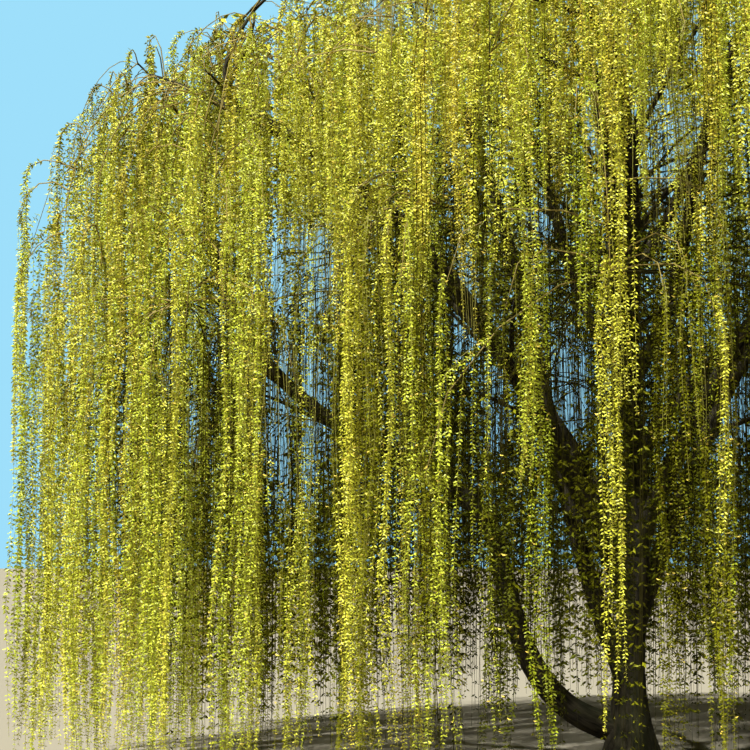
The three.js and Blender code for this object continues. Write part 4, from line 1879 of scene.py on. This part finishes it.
# The skin of this year's shoots is smooth and yellow-green, that of older twigs tan, and that of
# shoots still without leaves a dark olive-brown. The shoots and arches of shady and inner tresses
# get the same dark skin, as painted shade.
SHOOT_FINISH = PlainFinish("shoot_skin_yellow", "8f8a3c", 0.5)
ARCH_FINISH = PlainFinish("twig_skin_tan", "83743c", 0.6, 0.2)
DARK_FINISH = PlainFinish("shoot_skin_dark", "302d10", 0.6, 0.05)


@dataclass(frozen=True)
class BarkFinish:
    """Willow bark: dark grey-brown in long furrows, with paler ridges and a film of green algae.

    The noise of the furrows is furrow under one share and ridge over another. Where that of the
    patches passes from one share to another, algae come in, up to a share of the colour. All three
    colours are held darker than the bark's own, as painted shade over the trunk, boughs and
    branches.
    """

    name: str
    # Darker than the bark's own colours: painted shade.
    furrow: str = "15130e"
    ridge: str = "403a2c"
    algae: str = "3a3f24"
    furrow_width: float = 35 * MM
    furrow_until: float = 0.36
    ridge_from: float = 0.66
    patch: float = 450 * MM
    algae_from: float = 0.48
    algae_to: float = 0.7
    algae_share: float = 0.55
    grain: float = 6 * MM
    grain_share: float = 0.25
    relief: float = 6 * MM
    relief_share: float = 0.8
    roughness: float = 0.92
    shine: float = 0.25

    def material(self, attribute: str | None) -> bpy.types.Material:
        """Makes the material.

        Args:
            attribute: the mesh attribute that its furrows follow, or None for the object's
                own coordinates.

        Returns:
            The material.
        """
        material = new_material(self.name)
        tree = material.node_tree
        if attribute is None:
            where = add_node(tree, "ShaderNodeTexCoord").outputs["Object"]
        else:
            where = add_node(tree, "ShaderNodeAttribute", {
                "attribute_name": attribute}).outputs["Vector"]
        furrows = add_node(tree, "ShaderNodeTexNoise", inputs={
            "Vector": where, "Scale": 1 / self.furrow_width, "Detail": 4.0, "Roughness": 0.6})
        grain = add_node(tree, "ShaderNodeTexNoise", inputs={
            "Vector": where, "Scale": 1 / self.grain, "Detail": 2.0})
        patches = add_node(tree, "ShaderNodeTexNoise", inputs={
            "Vector": where, "Scale": 1 / self.patch, "Detail": 3.0})
        bark = add_node(tree, "ShaderNodeValToRGB", inputs={"Fac": furrows.outputs["Fac"]})
        low, high = bark.color_ramp.elements
        low.position, low.color = self.furrow_until, linear(self.furrow)
        high.position, high.color = self.ridge_from, linear(self.ridge)
        green = add_node(tree, "ShaderNodeMapRange", inputs={
            "Value": patches.outputs["Fac"], "From Min": self.algae_from,
            "From Max": self.algae_to, "To Min": 0.0, "To Max": self.algae_share})
        colour = add_node(tree, "ShaderNodeMix", {"data_type": "RGBA"}, {
            "Factor": green.outputs["Result"], MIX_FIRST: bark.outputs["Color"],
            MIX_SECOND: linear(self.algae)})
        height = add_node(tree, "ShaderNodeMath", {"operation": "MULTIPLY_ADD"}, {
            0: grain.outputs["Fac"], 1: self.grain_share, 2: furrows.outputs["Fac"]})
        bump = add_node(tree, "ShaderNodeBump", inputs={
            "Strength": self.relief_share, "Distance": self.relief,
            "Height": height.outputs["Value"]})
        shader = add_node(tree, "ShaderNodeBsdfPrincipled", inputs={
            "Base Color": colour.outputs[MIX_RESULT], "Roughness": self.roughness,
            "Normal": bump.outputs["Normal"], "Specular IOR Level": self.shine})
        add_node(tree, "ShaderNodeOutputMaterial", inputs={"Surface": shader.outputs["BSDF"]})
        return material


@dataclass
class BarkSkin:
    """Meshes of the trunk and boughs, with the relief of the bark in them.

    The relief has broad ridges and finer ones, in shares that add up to 1, and a height on it
    lies on the solid's skin. It gets shallower up the trunk.
    """

    skeleton: Skeleton
    furrow_width: float = 0.05
    stretch: float = 6.0
    broad: float = 0.7
    fine: float = 0.3
    finer: float = 2.3
    apart: tuple[float, float, float] = (7.0, 3.0, 5.0)
    on_skin: float = 0.9
    shallower: float = 0.5
    trunk_relief: float = 13 * MM
    bough_relief: float = 0.075
    collar: float = 0.4
    collar_fall: float = 0.16
    trunk_sides: int = 96
    trunk_rings: int = 170
    foot_rings: float = 1.25
    bough_sides: int = 18
    bough_rings: int = 70

    def ridged(self, place: Vector) -> float:
        """Gives the bark's height at a place, from 0 in a furrow to 1 on a ridge."""
        finer = place * self.finer / self.furrow_width + Vector(self.apart)
        broad, fine = (1 - abs(noise.noise(p)) for p in (place / self.furrow_width, finer))
        return self.broad * broad + self.fine * fine

    def skin(
        self, limb: Limb, shares: Array, sides: int,
        swollen: Callable[[float, float], float], depth: Callable[[float], float],
    ) -> bpy.types.Mesh:
        """Makes the closed skin of a limb.

        Args:
            limb: the limb.
            shares: where along the limb its rings are.
            sides: how many corners each ring has.
            swollen: gives the radius before relief, from the turn round the limb and the share.
            depth: gives the depth of the relief at a share.

        Returns:
            The mesh, with the place of each corner on the unrolled bark in its attribute "bark".
        """
        corners: list[Vector] = []
        bark: list[Vector] = []
        across = Vector((1.0, 0.0, 0.0))
        gone, before = 0.0, Vector(limb.point(float(shares[0])))
        for share in map(float, shares):
            point, tangent = Vector(limb.point(share)), Vector(limb.tangent(share))
            gone += (point - before).length
            before = point
            across = (across - tangent * across.dot(tangent)).normalized()
            beside = tangent.cross(across)
            for side in range(sides):
                turn = 2 * math.pi * side / sides
                radius = swollen(turn, share)
                place = Vector((
                    radius * math.cos(turn), radius * math.sin(turn), gone / self.stretch))
                radius += depth(share) * (self.ridged(place) - self.on_skin)
                out = across * math.cos(turn) + beside * math.sin(turn)
                corners.append(point + out * radius)
                bark.append(place)
        rings = len(shares)
        faces = [
            (ring * sides + side, ring * sides + (side + 1) % sides,
             (ring + 1) * sides + (side + 1) % sides, (ring + 1) * sides + side)
            for ring in range(rings - 1) for side in range(sides)]
        foot, tip = len(corners), len(corners) + 1
        for end in (0, -1):
            corners.append(Vector(limb.point(float(shares[end]))))
            bark.append(bark[0] if end == 0 else bark[-1])
        last = (rings - 1) * sides
        faces += [(foot, (side + 1) % sides, side) for side in range(sides)]
        faces += [(tip, last + side, last + (side + 1) % sides) for side in range(sides)]
        mesh = bpy.data.meshes.new(f"{limb.name}_bark")
        mesh.from_pydata(corners, [], faces)
        mesh.shade_smooth()
        layer = mesh.attributes.new("bark", "FLOAT_VECTOR", "POINT")
        layer.data.foreach_set("vector", np.array(bark, np.float32).ravel())
        return mesh

    def trunk_mesh(self) -> bpy.types.Mesh:
        """Makes the trunk's skin, with closer rings at its foot."""
        trunk = self.skeleton.trunk
        shares = np.linspace(0, 1, self.trunk_rings) ** self.foot_rings

        def swollen(turn: float, share: float) -> float:
            """Gives the trunk's radius with its root ridges."""
            return trunk.radius(share) * trunk.swelling(turn, share * trunk.height)

        return self.skin(
            trunk, shares, self.trunk_sides, swollen,
            lambda share: self.trunk_relief * (1 - self.shallower * share))

    def bough_mesh(self, bough: Bough) -> bpy.types.Mesh:
        """Makes a bough's skin.

        Args:
            bough: the bough.

        Returns:
            The mesh, with a collar where the bough leaves the trunk.
        """
        on_trunk = bough.name != "left_bough_upper"
        chord = float(np.linalg.norm(bough.point(1.0) - bough.point(0.0)))

        def swollen(_: float, share: float) -> float:
            """Gives the bough's radius with its collar."""
            swell = self.collar * math.exp(-share * chord / self.collar_fall) if on_trunk else 0.0
            return bough.radius(share) * (1 + swell)

        return self.skin(
            bough, np.linspace(0, 1, self.bough_rings), self.bough_sides, swollen,
            lambda share: self.bough_relief * bough.radius(share))

    def build(self, finish: BarkFinish) -> None:
        """Makes the pieces of the trunk and of each bough."""
        material = finish.material("bark")
        boughs = self.skeleton.boughs().items()
        meshes = {"trunk": self.trunk_mesh(), **{name: self.bough_mesh(b) for name, b in boughs}}
        for name, mesh in meshes.items():
            mesh.materials.append(material)
            own(placed(f"{name}_bark", mesh), BARK_SLOT, [name])


def own(piece: bpy.types.Object, slot: str, nodes: Sequence[str]) -> None:
    """Says which body a piece rides on, hides the nodes it stands for, and reports its size."""
    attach(piece, BODY)
    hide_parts(*nodes)
    faces = sum(len(polygon.vertices) - 2 for polygon in piece.data.polygons)
    log.info("%s: %d triangles", piece.name, faces)


def lots(strands: Sequence[Strand], faces: Callable[[Strand], float]) -> list[list[Strand]]:
    """Deals strands into lots of about the same size, so that none passes the largest piece.

    Args:
        strands: the strands to deal out.
        faces: counts the triangles that a strand gets.

    Returns:
        The lots.
    """
    count = math.ceil(sum(map(faces, strands)) / LARGEST_PIECE)
    return [list(strands[i::count]) for i in range(count)]


def skin_faces(strand: Strand) -> int:
    """Counts the triangles of a twig's skin, with its two ends."""
    return 2 * TWIG_SIDES * (len(strand.points) - 1) + TWIG_SIDES - 1


@dataclass
class Foliage:
    """The branches, twigs, shoots, leaves and catkins that replace the masses."""

    skeleton: Skeleton
    canopy: Canopy
    branching: Branching = Branching()
    shoot_rule: ShootRule = ShootRule()
    leads: Leads = Leads()
    grading: Grading = Grading()
    gaps: SkyGaps = SkyGaps()
    painted_sun_and_shade: PaintedSunAndShade = PaintedSunAndShade()
    leaf_sprays: Spraying = Spraying(0.72, LARGEST_SPRAY, 34.0)
    seed_step: int = 10
    catkin: Catkin = Catkin(36 * MM, 15 * MM)
    catkin_spacing: float = 0.48
    catkin_sprays: Spraying = Spraying(0.8, 1.25, 25.0)
    catkin_seed: int = 91
    branch_steps: int = 9
    branch_sides: int = 7
    stem_steps: int = 7
    stem_sides: int = 6
    arches: dict[bool, list[Strand]] = field(default_factory=lambda: {False: [], True: []})
    shoots: dict[bool, list[Strand]] = field(default_factory=lambda: {False: [], True: []})
    leafy: dict[tuple[Grade, Tint], list[Strand]] = field(default_factory=dict)
    sides: list[Bough] = field(default_factory=list)
    forks: list[Bough] = field(default_factory=list)
    stems: list[Bough] = field(default_factory=list)

    @property
    def nodes(self) -> list[str]:
        """The nodes of the masses, which each piece of the foliage stands for."""
        return [mass.name for mass in self.canopy.masses]

    def grow(self) -> None:
        """Works out all the strands, from the stems to the shoots."""
        self.stems = [self.canopy.stem(mass) for mass in self.canopy.masses]
        self.sides, self.forks = self.branching.grow(self.skeleton, self.stems)
        mains = [tress for mass in self.canopy.masses for tress in self.canopy.main_tresses(mass)]
        carriers = carriers_of((*self.stems, *self.sides, *self.forks))
        fine = self.canopy.fine_tresses(mains, carriers)
        fine += self.leads.tresses(self.canopy, carriers)
        fine += self.canopy.layer(self.canopy.thatch, carriers)
        rng = np.random.default_rng(self.shoot_rule.seed)
        inner = [
            tress for tress in self.canopy.layer(self.canopy.inner, carriers)
            if not self.gaps.opens(tress, rng)]
        log.info("%d main tresses, %d finer, %d inner", len(mains), len(fine), len(inner))
        for tress in (*mains, *fine, *inner):
            grade = self.grading.of(tress)
            # Arches of shady and inner tresses get the dark skin, as painted shade.
            self.arches[tress.rank.value.dark].append(self.shoot_rule.arch(tress))
            sunny = self.shoot_rule.tint(self.painted_sun_and_shade.rank, rng)
            for tint, strand in self.shoot_rule.shoots(tress, grade.value, rng):
                # Bare shoots have a dark skin of their own; that of shady and inner tresses is
                # painted shade.
                is_dark = tint is Tint.BARE or tress.rank.value.dark
                self.shoots[is_dark].append(strand)
                stretches = self.gaps.leafy(strand, grade, rng)
                # Shady tresses get painted light and shade: the sunny tint on stretches high up,
                # and their own darker tints lower down.
                if tress.rank is not Rank.SHADY:
                    self.bear(grade, tint, stretches)
                    continue
                for stretch in stretches:
                    lit, dim = self.painted_sun_and_shade.parts(stretch, rng)
                    self.bear(grade, sunny, lit)
                    self.bear(grade, tint, dim)
        for is_dark, strands in self.shoots.items():
            length = sum(strand.length for strand in strands)
            log.info("%d %s shoots, %.0f m", len(strands), "dark" if is_dark else "young", length)

    def bear(self, grade: Grade, tint: Tint, strands: Sequence[Strand]) -> None:
        """Keeps the stretches of shoots that bear leaves of a grade and a tint."""
        if tint is not Tint.BARE:
            self.leafy.setdefault((grade, tint), []).extend(strands)

    def wood(self, tree: NodeTree, finish: BarkFinish) -> None:
        """Makes the side branches, the stems with their forks, and the arches.

        Args:
            tree: the tree that gives strands their skin.
            finish: the bark of the side branches and the stems.
        """
        bark, twig, dark = finish.material(None), ARCH_FINISH.material(), DARK_FINISH.material()
        sides = [strand_of(limb, self.branch_steps) for limb in self.sides]
        stems = [strand_of(limb, self.stem_steps) for limb in self.stems]
        forks = [strand_of(limb, self.branch_steps) for limb in self.forks]
        parts = (
            ("side_branches", sides, self.branch_sides, bark, BARK_SLOT),
            ("stems", stems, self.stem_sides, bark, BARK_SLOT),
            ("forks", forks, TWIG_SIDES, twig, BARK_SLOT),
            ("arches", self.arches[False], TWIG_SIDES, twig, FOLIAGE_SLOT),
            ("dark_arches", self.arches[True], TWIG_SIDES, dark, FOLIAGE_SLOT),
        )
        for name, strands, corners, material, slot in parts:
            piece = grown(name, strands, tree, {"Sides": corners, "Material": material})
            piece.data.shade_smooth()
            own(piece, slot, self.nodes)

    def skins(self, tree: NodeTree) -> None:
        """Makes the shoots themselves, as three-sided twigs."""
        for is_dark, finish in ((False, SHOOT_FINISH), (True, DARK_FINISH)):
            values = {"Sides": TWIG_SIDES, "Material": finish.material()}
            for lot, dealt in enumerate(lots(self.shoots[is_dark], skin_faces)):
                name = f"{'dark' if is_dark else 'young'}_shoots_{lot + 1}"
                own(grown(name, dealt, tree, values), FOLIAGE_SLOT, self.nodes)

    def leaves(self, tree: NodeTree) -> None:
        """Makes the leaves, a grade and a tint at a time.

        Args:
            tree: the tree that sets sprays along strands.
        """
        materials = {tint: finish.material() for tint, finish in LEAF_FINISHES.items()}
        for grade in Grade:
            habit, size = grade.value, grade.name.lower()
            pair = LeafPair(habit.length, habit.width).build(f"{size}_leaf_pair")
            for order, (tint, material) in enumerate(materials.items()):
                strands = self.leafy.get((grade, tint), [])
                for lot, dealt in enumerate(lots(
                        strands, lambda s: PAIR_FACES * (s.length / habit.spacing + 1))):
                    values = self.leaf_sprays.inputs(
                        pair, habit.spacing, self.seed_step * order + lot, material)
                    piece = grown(f"{tint.value}_{size}_leaves_{lot + 1}", dealt, tree, values)
                    own(piece, FOLIAGE_SLOT, self.nodes)
            bpy.data.objects.remove(pair)

    def catkins(self, tree: NodeTree) -> None:
        """Makes the catkins, on the shoots of the fine rim."""
        shape = self.catkin.build("catkin")
        bearing = [some for (grade, _), some in self.leafy.items() if grade is Grade.FINE]
        values = self.catkin_sprays.inputs(
            shape, self.catkin_spacing, self.catkin_seed, CATKIN_FINISH.material())
        piece = grown("catkins", [strand for some in bearing for strand in some], tree, values)
        own(piece, FOLIAGE_SLOT, self.nodes)
        bpy.data.objects.remove(shape)

    def build(self, finish: BarkFinish) -> None:
        """Grows the strands and makes all the pieces."""
        self.grow()
        twigs, sprays = twig_tree(), spray_tree()
        self.wood(twigs, finish)
        self.skins(twigs)
        self.leaves(sprays)
        self.catkins(sprays)


@dataclass(frozen=True)
class Lamp:
    """A lamp that shines from far away, by its azimuth, height and size in degrees."""

    name: str
    azimuth: float
    height: float
    size: float
    strength: float
    colour: str

    def build(self) -> None:
        """Puts the lamp in the scene."""
        data = bpy.data.lights.new(self.name, "SUN")
        data.energy = self.strength
        data.angle = math.radians(self.size)
        data.color = linear(self.colour)[:3]
        height = math.radians(self.height)
        towards = -Vector(polar(self.azimuth, math.cos(height), math.sin(height)))
        placed(self.name, data).rotation_euler = towards.to_track_quat("-Z", "Y").to_euler()


@dataclass(frozen=True)
class Studio:
    """A pale floor and backdrop, plain light from the front left and above, and the camera."""

    view: View = View()
    floor_radius: float = 400.0
    floor_sides: int = 64
    floor_colour: str = "8e877a"
    floor_roughness: float = 0.9
    backdrop_radius: float = 390.0
    backdrop_segments: int = 48
    backdrop_colour: str = "9edffb"
    sky_colour: str = "e2df9a"
    sky_strength: float = 0.06
    key: Lamp = Lamp("key", 224.0, 57.0, 2.0, 8.8, "fffff2")
    fill: Lamp = Lamp("fill", 40.0, 40.0, 20.0, 0.08, "e8f1ff")

    def camera(self) -> None:
        """Sets up the camera, at eye height and looking a little up."""
        data = bpy.data.cameras.new("camera")
        data.lens = self.view.lens
        data.sensor_width = self.view.film
        data.clip_end = 2 * self.floor_radius
        camera = placed("camera", data)
        camera.location = self.view.eye
        camera.rotation_euler = (math.radians(90 + self.view.pitch), 0.0, 0.0)
        bpy.context.scene.camera = camera

    def floor(self) -> None:
        """Adds the round floor."""
        turns = [2 * math.pi * side / self.floor_sides for side in range(self.floor_sides)]
        ring = [
            (self.floor_radius * math.cos(turn), self.floor_radius * math.sin(turn), 0.0)
            for turn in turns]
        mesh = bpy.data.meshes.new("floor")
        mesh.from_pydata(ring, [], [tuple(range(self.floor_sides))])
        paint = PlainFinish("floor_paint", self.floor_colour, self.floor_roughness)
        mesh.materials.append(paint.material())
        placed("floor", mesh)

    def backdrop(self) -> None:
        """Adds the pale backdrop, which only shows and neither lights nor shades."""
        material = new_material("backdrop_paint")
        tree = material.node_tree
        glow = add_node(tree, "ShaderNodeEmission", inputs={"Color": linear(self.backdrop_colour)})
        add_node(tree, "ShaderNodeOutputMaterial", inputs={"Surface": glow.outputs["Emission"]})
        mesh = bpy.data.meshes.new("backdrop")
        shape = bmesh.new()
        bmesh.ops.create_uvsphere(
            shape, u_segments=self.backdrop_segments, v_segments=self.backdrop_segments // 2,
            radius=self.backdrop_radius)
        shape.to_mesh(mesh)
        shape.free()
        mesh.materials.append(material)
        dome = placed("backdrop", mesh)
        for ray in ("diffuse", "glossy", "shadow"):
            setattr(dome, f"visible_{ray}", False)

    def build(self) -> None:
        """Sets up the floor, the backdrop, the light and the camera."""
        world = bpy.data.worlds.new("backdrop")
        bpy.context.scene.world = world
        world.use_nodes = True
        tree = world.node_tree
        tree.nodes.clear()
        backdrop = add_node(tree, "ShaderNodeBackground", inputs={
            "Color": linear(self.sky_colour), "Strength": self.sky_strength})
        add_node(tree, "ShaderNodeOutputWorld", inputs={"Surface": backdrop.outputs["Background"]})
        bpy.context.scene.view_settings.view_transform = "Standard"
        self.floor()
        self.backdrop()
        self.key.build()
        self.fill.build()
        self.camera()


def main() -> None:
    """Builds the willow and its studio, and writes how large they are."""
    logging.basicConfig(level=logging.INFO, format="%(name)s: %(message)s")
    skeleton = Skeleton()
    bark = BarkFinish("willow_bark")
    BarkSkin(skeleton).build(bark)
    Foliage(skeleton, Canopy(skeleton)).build(bark)
    Studio().build()
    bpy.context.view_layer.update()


if __name__ == "__main__":
    main()
